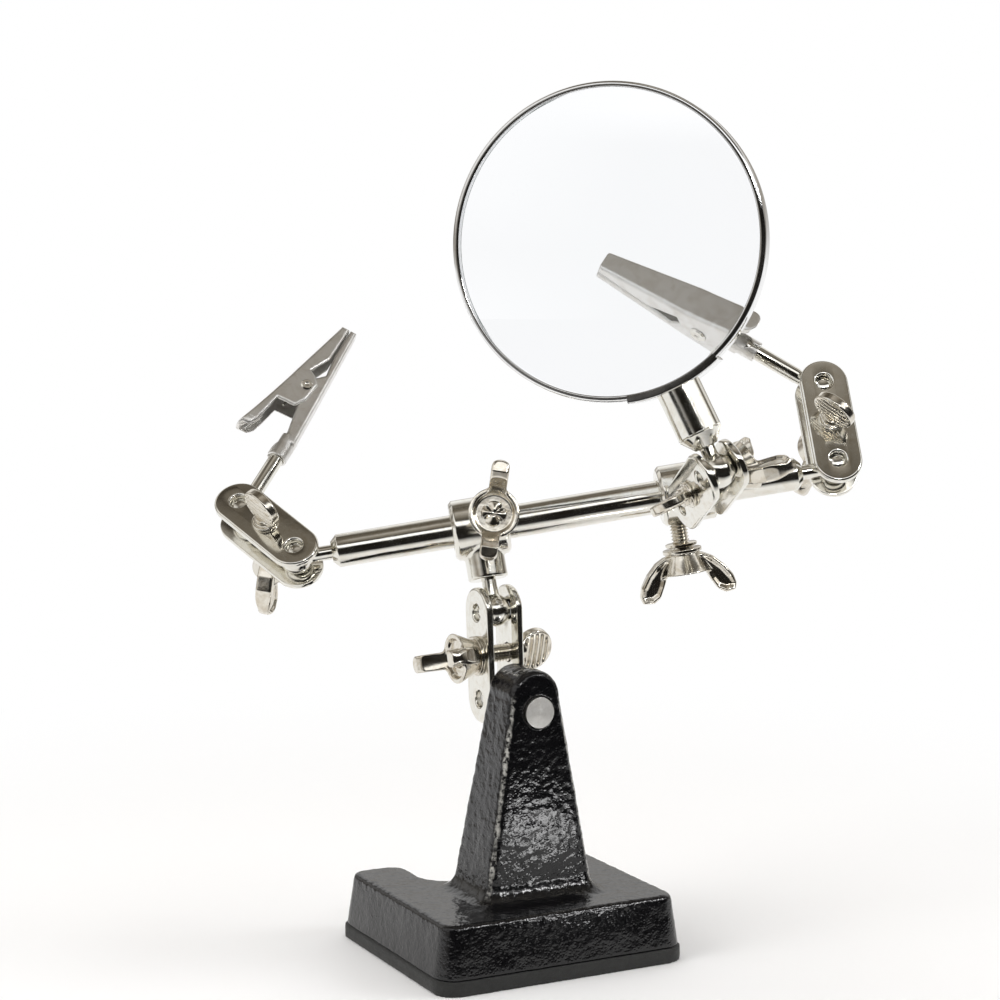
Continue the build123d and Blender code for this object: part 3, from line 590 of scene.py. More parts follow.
casting = refined("base_casting", 0.33)
roughen(casting, casting_height)
piece("casting", casting, TO_METRES, PAINT, "base", "base_casting")
pad = refined("base_pad", 0.36)
roughen(pad, pad_height)
piece("foot_pad", pad, TO_METRES, FOAM, "base", "base_pad")


def pin_shell():
    """Pin with its ball at the origin, its head along Z."""
    head_seat = 18.65
    head_end = 20.05
    profile = arc((0, 0), BALL_RADIUS, -89.9, 62, 40)
    profile += [(NECK_RADIUS, 3.6), (NECK_RADIUS, 5.55), (2.7, 5.65), (2.9, 5.8), (2.9, 6.5), (2.7, 6.65)]
    profile += [(2.25, 6.65), (2.25, head_seat), (3.3, head_seat), (3.3, head_end - 0.12)]
    profile += arc((3.18, head_end - 0.12), 0.12, 0, 90, 6)
    for i in range(31):
        radius = 3.12 - i * 0.1
        profile.append((max(radius, 2 * AXIS_GAP), head_end - 0.012 * (i % 2)))
    profile.append((AXIS_GAP, head_end - 0.08))
    return lathe(profile, 96)


pin_mesh = make_mesh("pin", pin_shell())
pin_frame = stand(place("pin_turn"), Vector((1, 0, 0)), Vector((0, -1, 0)))
piece("pillar_pin", pin_mesh, pin_frame, TURNED, "pin", "base_pin")


# ---------------- pinch clamps

def stadium(half_width, height, steps=40):
    """A closed ring of points round the plate's outline."""
    ends = arc((BALL_SPACING, 0.0), half_width, -90, 90, steps) + arc((0.0, 0.0), half_width, 90, 270, steps)
    return [(x, y, height) for x, y in ends]


HOLE_STEPS = 40


def plate_shell():
    """Pressed plate with rolled edges, two eyes over the balls and a screw hole."""
    low, high = PLATE_HALF_GAP, PLATE_OUTER
    rolled = 0.62
    outer = [(0.25, low), (0.07, low + 0.07), (0.0, low + 0.25)]
    outer += [(rolled - a, b) for a, b in arc((0.0, high - rolled), rolled, 0, 90, 8)]
    rings = [stadium(PLATE_HALF_WIDTH - inset, height) for inset, height in outer]
    points, faces = ring_surface(rings)
    faces = faces[:-2]
    count = len(rings[0])
    loops_low = [list(range(count))]
    loops_high = [list(range((len(rings) - 1) * count, len(rings) * count))]
    seat = [(2.216, low), (2.02, low + 0.12), (EYE_RADIUS, 3.175), (EYE_RADIUS, high - 0.55)]
    eye = seat + [(EYE_RADIUS + 0.55 - a, b) for a, b in arc((0.0, high - 0.55), 0.55, 0, 90, 6)]
    bore = [(2.25, low), (2.15, low + 0.1), (2.15, high - 0.15), (2.3, high)]
    for centre, profile in ((0.0, eye), (BALL_SPACING, eye), (BALL_SPACING / 2, bore)):
        start = len(points)
        hole_rings = [circle(radius, height, HOLE_STEPS, centre) for radius, height in profile]
        hole_points, hole_faces = ring_surface(hole_rings)
        points += hole_points
        faces += [tuple(start + index for index in reversed(face)) for face in hole_faces[:-2]]
        size = len(hole_rings[0])
        loops_low.append(list(range(start, start + size)))
        last = start + (len(hole_rings) - 1) * size
        loops_high.append(list(range(last, last + size)))
    for loops, up in ((loops_low, False), (loops_high, True)):
        order = [index for loop in loops for index in loop]
        triangles = tessellate_polygon([[Vector(points[index]) for index in loop] for loop in loops])
        for triangle in triangles:
            face = [order[index] for index in triangle]
            a, b, c = (Vector(points[index]) for index in face)
            faces.append(tuple(face) if ((b - a).cross(c - a).z > 0) == up else tuple(reversed(face)))
    return points, faces


def spade_field(x, y, z):
    """Collar and ridged spade of a thumb screw, above the plate."""
    centre = PLATE_OUTER + 0.9 + SPADE_HALF_HEIGHT - 0.4
    across = np.sqrt((x / SPADE_HALF_WIDTH) ** 2 + ((z - centre) / SPADE_HALF_HEIGHT) ** 2)
    rim = (across - 1) * 4.2
    ridges = 0.5 + 0.5 * np.cos((z - centre) * 2 * math.pi / 1.25)
    inner = np.clip((0.92 - across) * 6, 0, 1)
    half = 1.3 - 0.30 * across**2 - 0.55 * ridges**2 * inner
    blade = soft_cut(rim, np.abs(y) - half, 0.45)
    radius = np.sqrt(x**2 + y**2)
    collar = soft_cut(radius - 2.9, np.abs(z - PLATE_OUTER - 0.45) - 0.45, 0.25)
    neck = soft_cut(radius - 2.0, np.abs(z - PLATE_OUTER - 1.2) - 1.2, 0.2)
    return soft_union(soft_union(blade, neck, 0.7), collar, 0.35)


def thumb_screw_shell():
    """Spade head and thread, from the middle of the clamp."""
    head = carve(spade_field, (-5.2, -3.1, PLATE_OUTER - 0.1), (5.2, 3.1, PLATE_OUTER + 9.4), 0.12)
    return join(head, thread(SCREW_RADIUS, -PLATE_OUTER - 6.4, PLATE_OUTER + 0.3))


EAR = (
    (2.5, 1.4), (4.4, 1.5), (6.3, 2.5), (8.5, 4.7), (10.2, 7.2), (11.0, 9.3),
    (10.3, 10.7), (8.0, 10.9), (6.1, 9.8), (5.0, 7.8), (4.4, 6.0), (3.6, 4.9), (2.5, 4.9),
)
HUB_LENGTH = 5.4
EAR_ROUND_START = 8.95


def wing_field(start, bore):
    """Flange, flared and dished hub and two leaf-shaped ears, from height start. A nut has a bore."""

    def field(x, y, z):
        t = z - start
        radius = np.sqrt(x**2 + y**2)
        flange = soft_cut(radius - 4.3, np.abs(t - 0.45) - 0.45, 0.2)
        slope = 3.5 + (t - 1.0) * 0.46
        hub = soft_cut(radius - slope, np.abs(t - HUB_LENGTH / 2) - HUB_LENGTH / 2, 0.3)
        leaf = outline_distance(EAR, np.abs(x), t)
        dished = np.clip((-leaf - 0.3) / 1.3, 0, 1)
        half = 1.95 - 0.62 * dished * dished * (3 - 2 * dished)
        ear = soft_cut(leaf, np.hypot(np.maximum(np.abs(x) - EAR_ROUND_START, 0), y) - half, 0.7)
        body = soft_union(soft_union(hub, ear, 0.9), flange, 0.25)
        dish_floor = HUB_LENGTH - 0.9
        dish = np.maximum(radius - 4.4 - (t - HUB_LENGTH) * 0.5, dish_floor - t)
        body = soft_cut(body, -dish, 0.25)
        if bore:
            body = soft_cut(body, SCREW_RADIUS + RUNNING_GAP - radius, 0.15)
        return body

    return field


def wing_shell(start, bore):
    """The surface of a wing nut, or of a wing screw's head."""
    return carve(wing_field(start, bore), (-11.4, -5.8, start), (11.4, 5.8, start + 11.3), 0.14)


def peened_end(x, y, z):
    """The end of a wing screw's stud, peened over in four lobes."""
    t = z - SCREW_FLANGE
    radius = np.sqrt(x**2 + y**2)
    angle = np.arctan2(y, x)
    lobes = np.abs(np.cos(2 * angle))
    top = HUB_LENGTH - 0.15 - 0.55 * (1 - lobes) * np.clip(radius / 1.6, 0, 1) - 0.06 * radius**2
    centre_dent = 0.25 * np.exp(-((radius / 0.5) ** 2))
    return soft_cut(radius - 2.75, np.maximum(t - top + centre_dent, 3.2 - t), 0.35)


def wing_screw_shell():
    """Wing screw along Z, its tip on the bar and its head past a washer."""
    end = carve(peened_end, (-2.8, -2.8, SCREW_FLANGE + 3.2), (2.8, 2.8, SCREW_FLANGE + 5.6), 0.1)
    washer_side = [(0.1, 10.75), (3.3, 10.75), (3.5, 10.9), (3.5, 11.3), (3.3, 11.45)]
    neck_side = [(2.4, 11.6), (2.4, 12.1), (0.1, 12.1)]
    washer = lathe(washer_side + neck_side)
    shank = thread(SCREW_RADIUS, BAR_RADIUS + 2 * RUNNING_GAP, SCREW_FLANGE + 1)
    return join(wing_shell(SCREW_FLANGE, False), end, washer, shank)


plate_mesh = make_mesh("plate", plate_shell())
thumb_screw_mesh = make_mesh("thumb_screw", thumb_screw_shell(), CAST_SHARP)
wing_nut_mesh = make_mesh("wing_nut", wing_shell(RUNNING_GAP, True), CAST_SHARP)
wing_screw_mesh = make_mesh("wing_screw", wing_screw_shell(), CAST_SHARP)


def add_clamp(name, swing, second_ball, plates):
    """A pinch clamp between two balls: the screw's plate, the nut's plate, the thumb screw and the nut."""
    ball = place(swing)
    normal = line(swing)
    away = second_ball - ball
    middle = (ball + second_ball) / 2
    clamp = f"{name}_clamp"
    sides = (stand(ball, away, normal), stand(second_ball, -away, -normal))
    for plate, plate_frame in zip(plates, sides):
        piece(f"{clamp}_{plate}", plate_mesh, plate_frame, NICKEL, clamp, f"{clamp}_{plate}_plate")
    screw_frame = stand(middle, away, normal, SPADE_TURN[name])
    piece(f"{clamp}_spade_screw", thumb_screw_mesh, screw_frame, CAST_NICKEL, clamp, f"{clamp}_thumb_screw")
    nut_frame = stand(middle - normal * PLATE_OUTER, -away, -normal, NUT_TURN[name])
    piece(f"{clamp}_nut", wing_nut_mesh, nut_frame, CAST_NICKEL, f"{name}_wing_nut", f"{clamp}_wing_nut")


add_clamp("base", "base_clamp_swing", place("sleeve_swing"), ("right", "left"))
add_clamp("left", "left_clamp_swing", place("left_clip_swing"), ("upper", "lower"))
add_clamp("right", "right_clamp_swing", place("right_clip_swing"), ("near", "far"))
add_clamp("lens", "lens_clamp_swing", place("lens_swing"), ("left", "right"))


# ---------------- balls, sleeves and bar

def ball_profile(shank_end, shank_radius=NECK_RADIUS):
    """A ball at the origin with its neck along the height, eased where they meet."""
    join_angle = math.degrees(math.acos((NECK_RADIUS + 0.25) / BALL_RADIUS))
    profile = arc((0, 0), BALL_RADIUS, -89.9, join_angle, 44)
    profile += [(NECK_RADIUS + 0.06, BALL_RADIUS * math.sin(math.radians(join_angle)) + 0.22)]
    profile += [(NECK_RADIUS, 4.1), (NECK_RADIUS, 6.0), (shank_radius, 6.4)]
    profile += [(shank_radius, shank_end - 0.2), (shank_radius - 0.2, shank_end), (AXIS_GAP, shank_end)]
    return profile


def sleeve_field(x, y, z):
    """Tee sleeve: bar along X, ball boss along Z, screw boss hole along Y."""
    from_bar = np.sqrt(y**2 + z**2)
    barrel = soft_cut(from_bar - SLEEVE_RADIUS, np.abs(x) - SLEEVE_HALF_LENGTH, 0.5)
    corner = (from_bar - SLEEVE_RADIUS + np.abs(x) - SLEEVE_HALF_LENGTH + 0.75) * 0.7071
    barrel = soft_cut(barrel, corner, 0.12)
    from_boss = np.sqrt(x**2 + y**2)
    past_boss = np.abs(z - SLEEVE_BOSS_END / 2) - SLEEVE_BOSS_END / 2
    boss = soft_cut(from_boss - SLEEVE_BOSS_RADIUS, past_boss, 0.5)
    body = soft_union(barrel, boss, 0.7)
    flare = np.clip(np.abs(x) - SLEEVE_HALF_LENGTH + 0.5, 0, 1)
    body = soft_cut(body, BAR_RADIUS + RUNNING_GAP + flare - from_bar, 0.1)
    from_screw = np.sqrt((x - SLEEVE_SCREW_X) ** 2 + z**2)
    screw_hole = np.maximum(from_screw - SCREW_RADIUS - RUNNING_GAP - 0.1, -y)
    return soft_cut(body, -screw_hole, 0.2)


def bar_shell():
    """Round bar along Z with eased ends."""
    half = 52.0
    profile = [(AXIS_GAP, -half), (1.7, -half), (BAR_RADIUS - 1.35, -half)]
    profile += arc((BAR_RADIUS - 0.4, -half + 1.5), 0.4, -45, 0, 4)
    profile += [(BAR_RADIUS, height) for height in np.linspace(-half + 4, half - 4, 24)]
    profile += arc((BAR_RADIUS - 0.4, half - 1.5), 0.4, 0, 45, 4)
    profile += [(BAR_RADIUS - 1.35, half), (1.7, half), (AXIS_GAP, half)]
    return lathe(profile, 128)


sleeve_shell = carve(sleeve_field, (-6.2, -6.7, -6.7), (6.2, 6.7, 11.7), 0.15)
sleeve_mesh = make_mesh("sleeve", sleeve_shell, CAST_SHARP)
sleeve_ball_mesh = make_mesh("sleeve_ball", lathe(ball_profile(12.6)))
bar_ball_mesh = make_mesh("bar_ball", lathe(ball_profile(13.4)))
clip_ball_mesh = make_mesh("clip_ball", along_x(lathe(ball_profile(STUD_END, STUD_RADIUS))))
bar_mesh = make_mesh("bar", bar_shell())

bar_line = line("bar_slide")
stem_line = line("sleeve_turn")
sleeve_screw_foot = place("sleeve_wing_screw_turn")
left_ball = place("left_ball_turn")
right_ball = place("right_ball_turn")
lens_sleeve_stem = line("lens_sleeve_ball_turn")
lens_screw_foot = place("lens_wing_screw_turn")

main_ball_frame = stand(place("sleeve_swing"), bar_line, stem_line)
main_frame = stand(sleeve_screw_foot - bar_line * SLEEVE_SCREW_X, bar_line, -stem_line)
main_screw_frame = stand(sleeve_screw_foot, bar_line, line("sleeve_wing_screw_turn"), MAIN_SCREW_TURN)
piece("sleeve_ball", sleeve_ball_mesh, main_ball_frame, NICKEL, "sleeve_ball", "main_sleeve_ball")
piece("sleeve", sleeve_mesh, main_frame, NICKEL, "sleeve", "main_sleeve")
piece(
    "sleeve_screw", wing_screw_mesh, main_screw_frame, CAST_NICKEL,
    "sleeve_wing_screw", "main_sleeve_wing_screw",
)

bar_frame = stand((left_ball + right_ball) / 2, stem_line, bar_line)
left_ball_frame = stand(left_ball, stem_line, bar_line)
right_ball_frame = stand(right_ball, stem_line, -bar_line)
piece("bar", bar_mesh, bar_frame, NICKEL, "bar", "cross_bar")
piece("left_ball", bar_ball_mesh, left_ball_frame, NICKEL, "left_ball", "bar_left_ball")
piece("right_ball", bar_ball_mesh, right_ball_frame, NICKEL, "right_ball", "bar_right_ball")

lens_sleeve_frame = stand(lens_screw_foot + bar_line * SLEEVE_SCREW_X, -bar_line, lens_sleeve_stem)
lens_screw_frame = stand(lens_screw_foot, bar_line, line("lens_wing_screw_turn"))
lens_sleeve_ball_frame = stand(place("lens_sleeve_ball_turn"), bar_line, -lens_sleeve_stem)
piece("magnifier_sleeve", sleeve_mesh, lens_sleeve_frame, NICKEL, "lens_sleeve", "lens_sleeve")
piece(
    "magnifier_sleeve_screw", wing_screw_mesh, lens_screw_frame, CAST_NICKEL,
    "lens_wing_screw", "lens_sleeve_wing_screw",
)
piece(
    "magnifier_sleeve_ball", sleeve_ball_mesh, lens_sleeve_ball_frame, NICKEL,
    "lens_sleeve_ball", "lens_sleeve_ball",
)


# ---------------- sprung clips
# Along X from the ball to the tip, Y toward the finger lever, Z across.

BODY_SIDE = (
    (20.6, -2.2), (PIVOT_X, -1.5), (CLIP_TIP, -0.5), (CLIP_TIP, BITE_Y), (47.0, BITE_Y), (41.3, 0.35),
    (39.4, 2.0), (38.4, 4.5), (34.4, 4.7), (32.0, 3.0), (29.5, 2.15), (21.7, 0.7), (20.6, 0.3),
)
BODY_INSIDE = (
    (20.0, -1.6), (PIVOT_X, -1.5 + SHEET), (CLIP_TIP - SHEET, -0.5 + SHEET), (CLIP_TIP - SHEET, 9.0),
    (20.0, 9.0),
)
JAW_SIDE = (
    (19.3, 11.9), (19.4, 9.7), (21.8, 8.1), (24.6, 7.5), (29.4, 6.7), (29.6, 2.4), (32.4, 0.9), (37.4, 0.4),
    (39.4, 2.0), (40.3, 3.45), (45.5, BITE_Y + BITE_GAP), (CLIP_TIP, BITE_Y + BITE_GAP), (CLIP_TIP, 3.3),
    (37.0, 7.1), (29.0, 9.0), (24.0, 10.4),
)
JAW_INSIDE = (
    (17.3, 11.9), (24.0, 9.8), (29.0, 8.4), (37.0, 6.5), (CLIP_TIP - SHEET, 2.7), (CLIP_TIP - SHEET, -6.0),
    (17.3, -6.0),
)


def taper(x, stops):
    """Half width across the clip at x, from (x, half width) stops."""
    return np.interp(x, [stop[0] for stop in stops], [stop[1] for stop in stops])


def folded(side, inside, stops, x, y, z):
    """A channel folded from sheet, rounded along its bends."""
    across = np.abs(z) - taper(x, stops)
    outer = soft_cut(outline_distance(side, x, y) + 0.02, across, 0.9)
    inner = soft_cut(outline_distance(inside, x, y), across + SHEET, 0.5)
    return soft_cut(outer, -inner, 0.12)


def teeth(x, y, start, level, side):
    """A row of notches along a jaw's edge."""
    best = np.full(x.shape, 9.0)
    for i in range(TOOTH_COUNT):
        centre = start + i * TOOTH_PITCH
        best = np.minimum(best, (np.abs(x - centre) * 0.85 + side * (y - level) * 0.6) - 0.05)
    return best


def rivet_hole(x, y):
    """How deep a point lies in the rivet's hole."""
    return RIVET_RADIUS + RUNNING_GAP - np.sqrt((x - PIVOT_X) ** 2 + (y - PIVOT_Y) ** 2)


def body_field(x, y, z):
    """Fixed jaw: crimp barrel, channel and toothed tip."""
    stops = ((CRIMP_START, 2.2), (30.0, 2.5), (39.0, 2.5), (57.0, 1.9))
    sheet = folded(BODY_SIDE, BODY_INSIDE, stops, x, y, z)
    from_stud = np.sqrt(y**2 + z**2)
    past_crimp = np.abs(x - (CRIMP_START + CRIMP_END) / 2) - (CRIMP_END - CRIMP_START) / 2
    barrel = soft_cut(from_stud - CRIMP_RADIUS, past_crimp, 0.2)
    opening = 0.35 + 1.25 * np.clip((x - STUD_END + 1.2) / 1.5, 0, 1)
    seam = np.maximum(np.abs(z) - opening, -y)
    barrel = soft_cut(barrel, -seam, 0.3)
    body = soft_union(sheet, barrel, 0.35)
    in_barrel = np.maximum(from_stud - STUD_RADIUS - RUNNING_GAP, x - CRIMP_END)
    body = soft_cut(body, -in_barrel, 0.08)
    body = soft_cut(body, -teeth(x, y, PIVOT_X + 11.6, BITE_Y, -1), 0.08)
    return soft_cut(body, rivet_hole(x, y), 0.08)


def jaw_field(x, y, z):
    """Sprung jaw: toothed tip, cheeks over the pivot and the finger lever with its rounded tail."""
    stops = ((18.3, 2.3), (22.0, 2.8), (28.0, 3.2), (39.0, 3.2), (57.0, 1.9))
    sheet = folded(JAW_SIDE, JAW_INSIDE, stops, x, y, z)
    tail = np.where(x < TAIL_ROUND_X, np.hypot(x - TAIL_ROUND_X, z) - 2.9, -9.0)
    sheet = soft_cut(sheet, tail, 0.3)
    sheet = soft_cut(sheet, -teeth(x, y, PIVOT_X + 12.25, BITE_Y + BITE_GAP, 1), 0.08)
    return soft_cut(sheet, rivet_hole(x, y), 0.08)


def rivet_shell():
    """Pivot rivet along Z, its heads dimpled by the setting tool."""
    half = 3.25
    head = 1.4
    upper = [(RIVET_RADIUS, half), (head, half), (head, half + 0.05), (1.1, half + 0.3), (0.6, half + 0.3)]
    upper += [(0.35, half + 0.1), (AXIS_GAP, half + 0.05)]
    lower = [(radius, -height) for radius, height in reversed(upper)]
    return moved(lathe(lower + upper, 48), Matrix.Translation((PIVOT_X, PIVOT_Y, 0)))


def spring_shell():
    """Wound torsion spring round the rivet, one leg on the channel's floor and one under the lever."""
    turns = 4
    wire = 0.27
    coil = 1.55
    width = 2.6
    path = [(PIVOT_X - 7.6, PIVOT_Y - 3.3, -width / 2), (PIVOT_X - 3.5, PIVOT_Y - 2.4, -width / 2)]
    for i in range(turns * 28 + 1):
        angle = math.radians(-90) + 2 * math.pi * i / 28
        height = -width / 2 + width * i / (turns * 28)
        path.append((PIVOT_X + coil * math.cos(angle), PIVOT_Y + coil * math.sin(angle), height))
    path += [(PIVOT_X - 1.4, PIVOT_Y + 1.2, width / 2), (PIVOT_X - 6.6, PIVOT_Y + 2.4, width / 2)]
    return tube(path, wire)


body_shell = carve(body_field, (CRIMP_START, -2.5, -2.6), (CLIP_TIP, 5.0, 2.6), CLIP_STEP)
jaw_shell = carve(jaw_field, (19.0, 0.3, -3.3), (CLIP_TIP, 12.1, 3.3), CLIP_STEP)
body_mesh = make_mesh("clip_body", body_shell, CAST_SHARP)
jaw_mesh = make_mesh("clip_jaw", jaw_shell, CAST_SHARP)
rivet_mesh = make_mesh("clip_rivet", rivet_shell())
spring_mesh = make_mesh("clip_spring", spring_shell())


def add_clip(side):
    """A whole clip on its ball."""
    ball = place(f"{side}_clip_turn")
    x_line = line(f"{side}_clip_turn")
    matrix = stand(ball, x_line, line(f"{side}_clip_open"))
    node = f"{side}_clip"
    piece(f"{node}_ball", clip_ball_mesh, matrix, NICKEL, f"{side}_clip_ball", f"{node}_stud")
    piece(f"{node}_fixed_jaw", body_mesh, matrix, PRESSED_NICKEL, f"{side}_clip", f"{node}_body")
    piece(f"{node}_sprung_jaw", jaw_mesh, matrix, PRESSED_NICKEL, f"{side}_jaw", f"{node}_jaw")
    piece(f"{node}_pivot", rivet_mesh, matrix, NICKEL, f"{side}_clip", f"{node}_rivet")
    piece(f"{node}_coil", spring_mesh, matrix, SPRING, f"{side}_clip", f"{node}_spring")


add_clip("left")
add_clip("right")


# ---------------- magnifier
# Ball at the origin, stem along X, lens axis along Z.

def sweep_round(profile, half_angle, steps):
    """A closed profile of (radius, height) swept about the lens's axis, around the stem's side."""
    rings = []
    for i in range(steps + 1):
        angle = math.radians(180 - half_angle + 2 * half_angle * i / steps)
        x, y = math.cos(angle), math.sin(angle)
        rings.append([(LENS_REACH + radius * x, radius * y, height) for radius, height in profile])
    return ring_surface(rings)


def lens_ball_shell():
    """Ball, neck and cone, and the shank that goes up the socket."""
    profile = arc((0, 0), BALL_RADIUS, -89.9, 58, 44)
    profile += [(NECK_RADIUS + 0.05, 3.3), (NECK_RADIUS, 3.8), (NECK_RADIUS, 5.2), (1.75, 5.4), (2.4, 5.45)]
    profile += [(4.6, 8.25), (4.6, 8.35), (2.0, 8.35), (2.0, 13.2), (AXIS_GAP, 13.2)]
    return along_x(lathe(profile, 96))


def socket_shell():
    """Round stem, bored for the ball's shank, whose far end is hollowed to sit on the saddle."""
    seat = RIM_RADIUS + SADDLE_WALL
    bore_radius = 2.06
    bore_depth = 4.9
    chamfer = 0.25
    stations = [(AXIS_GAP, bore_depth), (bore_radius, bore_depth), (bore_radius, 0.0)]
    stations += [(SOCKET_RADIUS - chamfer, 0.0), (SOCKET_RADIUS, chamfer)]
    stations += [(SOCKET_RADIUS, depth) for depth in (2.0, 4.0, 6.0)]
    rings = []
    for radius, depth in stations:
        rings.append([(SOCKET_START + depth, y, z) for y, z, _ in circle(radius, 0.0, 96)])
    for radius in (SOCKET_RADIUS, 3.0, AXIS_GAP):
        round_end = circle(radius, 0.0, 96)
        rings.append([(LENS_REACH - math.sqrt(seat**2 - y**2), y, z) for y, z, _ in round_end])
    return ring_surface(rings)


def saddle_shell():
    """Channel bent round the lowest part of the rim, its walls up both sides."""
    inner = RIM_RADIUS + 0.03
    outer = RIM_RADIUS + SADDLE_WALL
    half = RIM_HALF_WIDTH + SADDLE_WALL
    wall = RIM_HALF_WIDTH + 0.03
    top = RIM_RADIUS - 1.1
    corner = 0.4
    profile = [(top, wall), (top, half - 0.15), (top + 0.15, half)]
    profile += [(outer - corner, half)]
    profile += arc((outer - corner, half - corner), corner, 90, 0, 6)[1:]
    profile += arc((outer - corner, -half + corner), corner, 0, -90, 6)
    profile += [(top + 0.15, -half), (top, -half + 0.15), (top, -wall)]
    profile += [(inner, -wall), (inner, wall)]
    return sweep_round(profile, 18.0, 40)


def rim_shell():
    """Rolled rim: round outside corners and a lip on each side of the glass."""
    outer = RIM_RADIUS
    width = RIM_HALF_WIDTH
    inner = RIM_RADIUS - 0.7
    lip = inner - 0.6
    glass_gap = GLASS_HALF_EDGE + 0.08
    roll = 0.75
    profile = arc((outer - roll, width - roll), roll, 0, 90, 8)
    profile += arc((lip + 0.3, width - 0.3), 0.3, 90, 180, 5)
    profile += [(lip, glass_gap), (inner, glass_gap), (inner, -glass_gap), (lip, -glass_gap)]
    profile += arc((lip + 0.3, -width + 0.3), 0.3, 180, 270, 5)
    profile += arc((outer - roll, -width + roll), roll, 270, 360, 8)
    return moved(lathe(profile, 256, closed=True), Matrix.Translation((LENS_REACH, 0, 0)))


def glass_shell():
    """Biconvex lens with a narrow ground bevel."""
    sag = GLASS_HALF_CENTRE - GLASS_HALF_EDGE
    curve = (GLASS_RADIUS**2 + sag**2) / (2 * sag)
    face = []
    for i in range(49):
        radius = max(AXIS_GAP, (GLASS_RADIUS - 0.25) * i / 48)
        face.append((radius, GLASS_HALF_CENTRE - curve + math.sqrt(curve**2 - radius**2)))
    profile = [(radius, -height) for radius, height in face]
    profile += [(GLASS_RADIUS, -GLASS_HALF_EDGE + 0.2), (GLASS_RADIUS, GLASS_HALF_EDGE - 0.2)]
    profile += reversed(face)
    return moved(lathe(profile, 192), Matrix.Translation((LENS_REACH, 0, 0)))


lens_ball = place("lens_swing")
lens_stem = line("lens_turn")
lens_frame = stand(lens_ball, lens_stem, LENS_FACE - lens_stem * LENS_FACE.dot(lens_stem))


def add_magnifier_part(part, shell, material, body="lens", sharp=35.0):
    """One piece of the magnifier, from its own shell."""
    mesh = make_mesh(f"lens_{part}", shell, sharp)
    return piece(f"magnifier_{part}", mesh, lens_frame, material, body, f"lens_{part}")


add_magnifier_part("ball", lens_ball_shell(), NICKEL, "lens_ball")
add_magnifier_part("socket", socket_shell(), NICKEL)
add_magnifier_part("saddle", saddle_shell(), CHROME)
add_magnifier_part("rim", rim_shell(), CHROME)
glass = add_magnifier_part("glass", glass_shell(), GLASS, sharp=CAST_SHARP)
glass.data.materials.append(GROUND_EDGE)
lens_centre = lens_frame @ Vector((LENS_REACH, 0, 0))
for face in glass.data.polygons:
    if (face.center - lens_centre).length > (GLASS_RADIUS - 0.1) * MM:
        face.material_index = 1


# ---------------- camera, floor and light

CAMERA_PLACE = Vector((-0.23422, -0.44873, 0.15577))
CAMERA_RIGHT = Vector((0.8884, -0.4590, 0.0)).normalized()
CAMERA_AHEAD = Vector((0.456, 0.883, -0.1145)).normalized()

TOWARD_CAMERA = Vector((-CAMERA_AHEAD.x, -CAMERA_AHEAD.y, 0)).normalized()

camera_data = bpy.data.cameras.new("camera")
camera_data.lens = 86.4
camera_data.sensor_width = 36.0
camera_data.clip_start = 0.01
camera_data.clip_end = 20.0
camera = add_object("camera", camera_data)
camera_up = CAMERA_RIGHT.cross(CAMERA_AHEAD).normalized()
camera_turn = Matrix((CAMERA_RIGHT, camera_up, -CAMERA_AHEAD)).transposed().to_4x4()
camera.matrix_world = Matrix.Translation(CAMERA_PLACE) @ camera_turn
bpy.context.scene.camera = camera


def darkened_ahead(shader, position, paper):
    """The paper, but dark between the object and the camera wherever a reflection shows it."""
    ahead = TOWARD_CAMERA + 0.35 * CAMERA_RIGHT
    forward = shader.add("ShaderNodeVectorMath", {0: position, 1: ahead}, operation="DOT_PRODUCT")
    span = {"Value": forward.outputs["Value"], "From Min": 0.09, "From Max": 0.20}
    reach = shader.add("ShaderNodeMapRange", span).outputs["Result"]
    rays = shader.add("ShaderNodeLightPath").outputs
    mirror_only = {0: rays["Is Glossy Ray"], 1: rays["Is Transmission Ray"]}
    mirrored = shader.add("ShaderNodeMath", mirror_only, operation="SUBTRACT", use_clamp=True).outputs[0]
    dark = shader.add("ShaderNodeEmission", {"Color": (0.012, 0.011, 0.010, 1)}).outputs[0]
    share = shader.math("MULTIPLY", reach, mirrored)
    return shader.add("ShaderNodeMixShader", {0: share, 1: paper, 2: dark}).outputs[0]


def floor_paper():
    """White paper that glows as it runs out, so that it melts into the backdrop."""
    values = {"Base_Color": (0.93, 0.93, 0.935, 1), "Roughness": 0.7, "Specular_IOR_Level": 0.0}
    shader = Shader("floor_paper", **values)
    position = shader.add("ShaderNodeNewGeometry").outputs["Position"]
    distance = shader.add("ShaderNodeVectorMath", {0: position}, operation="LENGTH").outputs["Value"]
    span = {"Value": distance, "From Min": 0.08, "From Max": 0.30}
    fade = shader.add("ShaderNodeMapRange", span, interpolation_type="SMOOTHSTEP").outputs["Result"]
    glow = shader.add("ShaderNodeEmission").outputs[0]
    paper = shader.add("ShaderNodeMixShader", {0: fade, 1: shader.surface.outputs[0], 2: glow}).outputs[0]
    wire(shader.tree, darkened_ahead(shader, position, paper), shader.out["Surface"])
    return shader.material


def make_floor():
    """A plain round floor just under the object."""
    rings = [circle(radius, -0.02, 96) for radius in (1.0, 200.0, 600.0, 2000.0)]
    points, faces = ring_surface(rings)
    mesh = make_mesh("floor", (points, faces[:-1]))
    mesh.transform(TO_METRES)
    mesh.flip_normals()
    mesh.materials.append(floor_paper())
    add_object("floor", mesh)


def warm(tone):
    """A grey of the room, browner the darker it is."""
    share = min(tone, 1)
    return (tone, tone * (0.86 + 0.14 * share), tone * (0.66 + 0.34 * share))


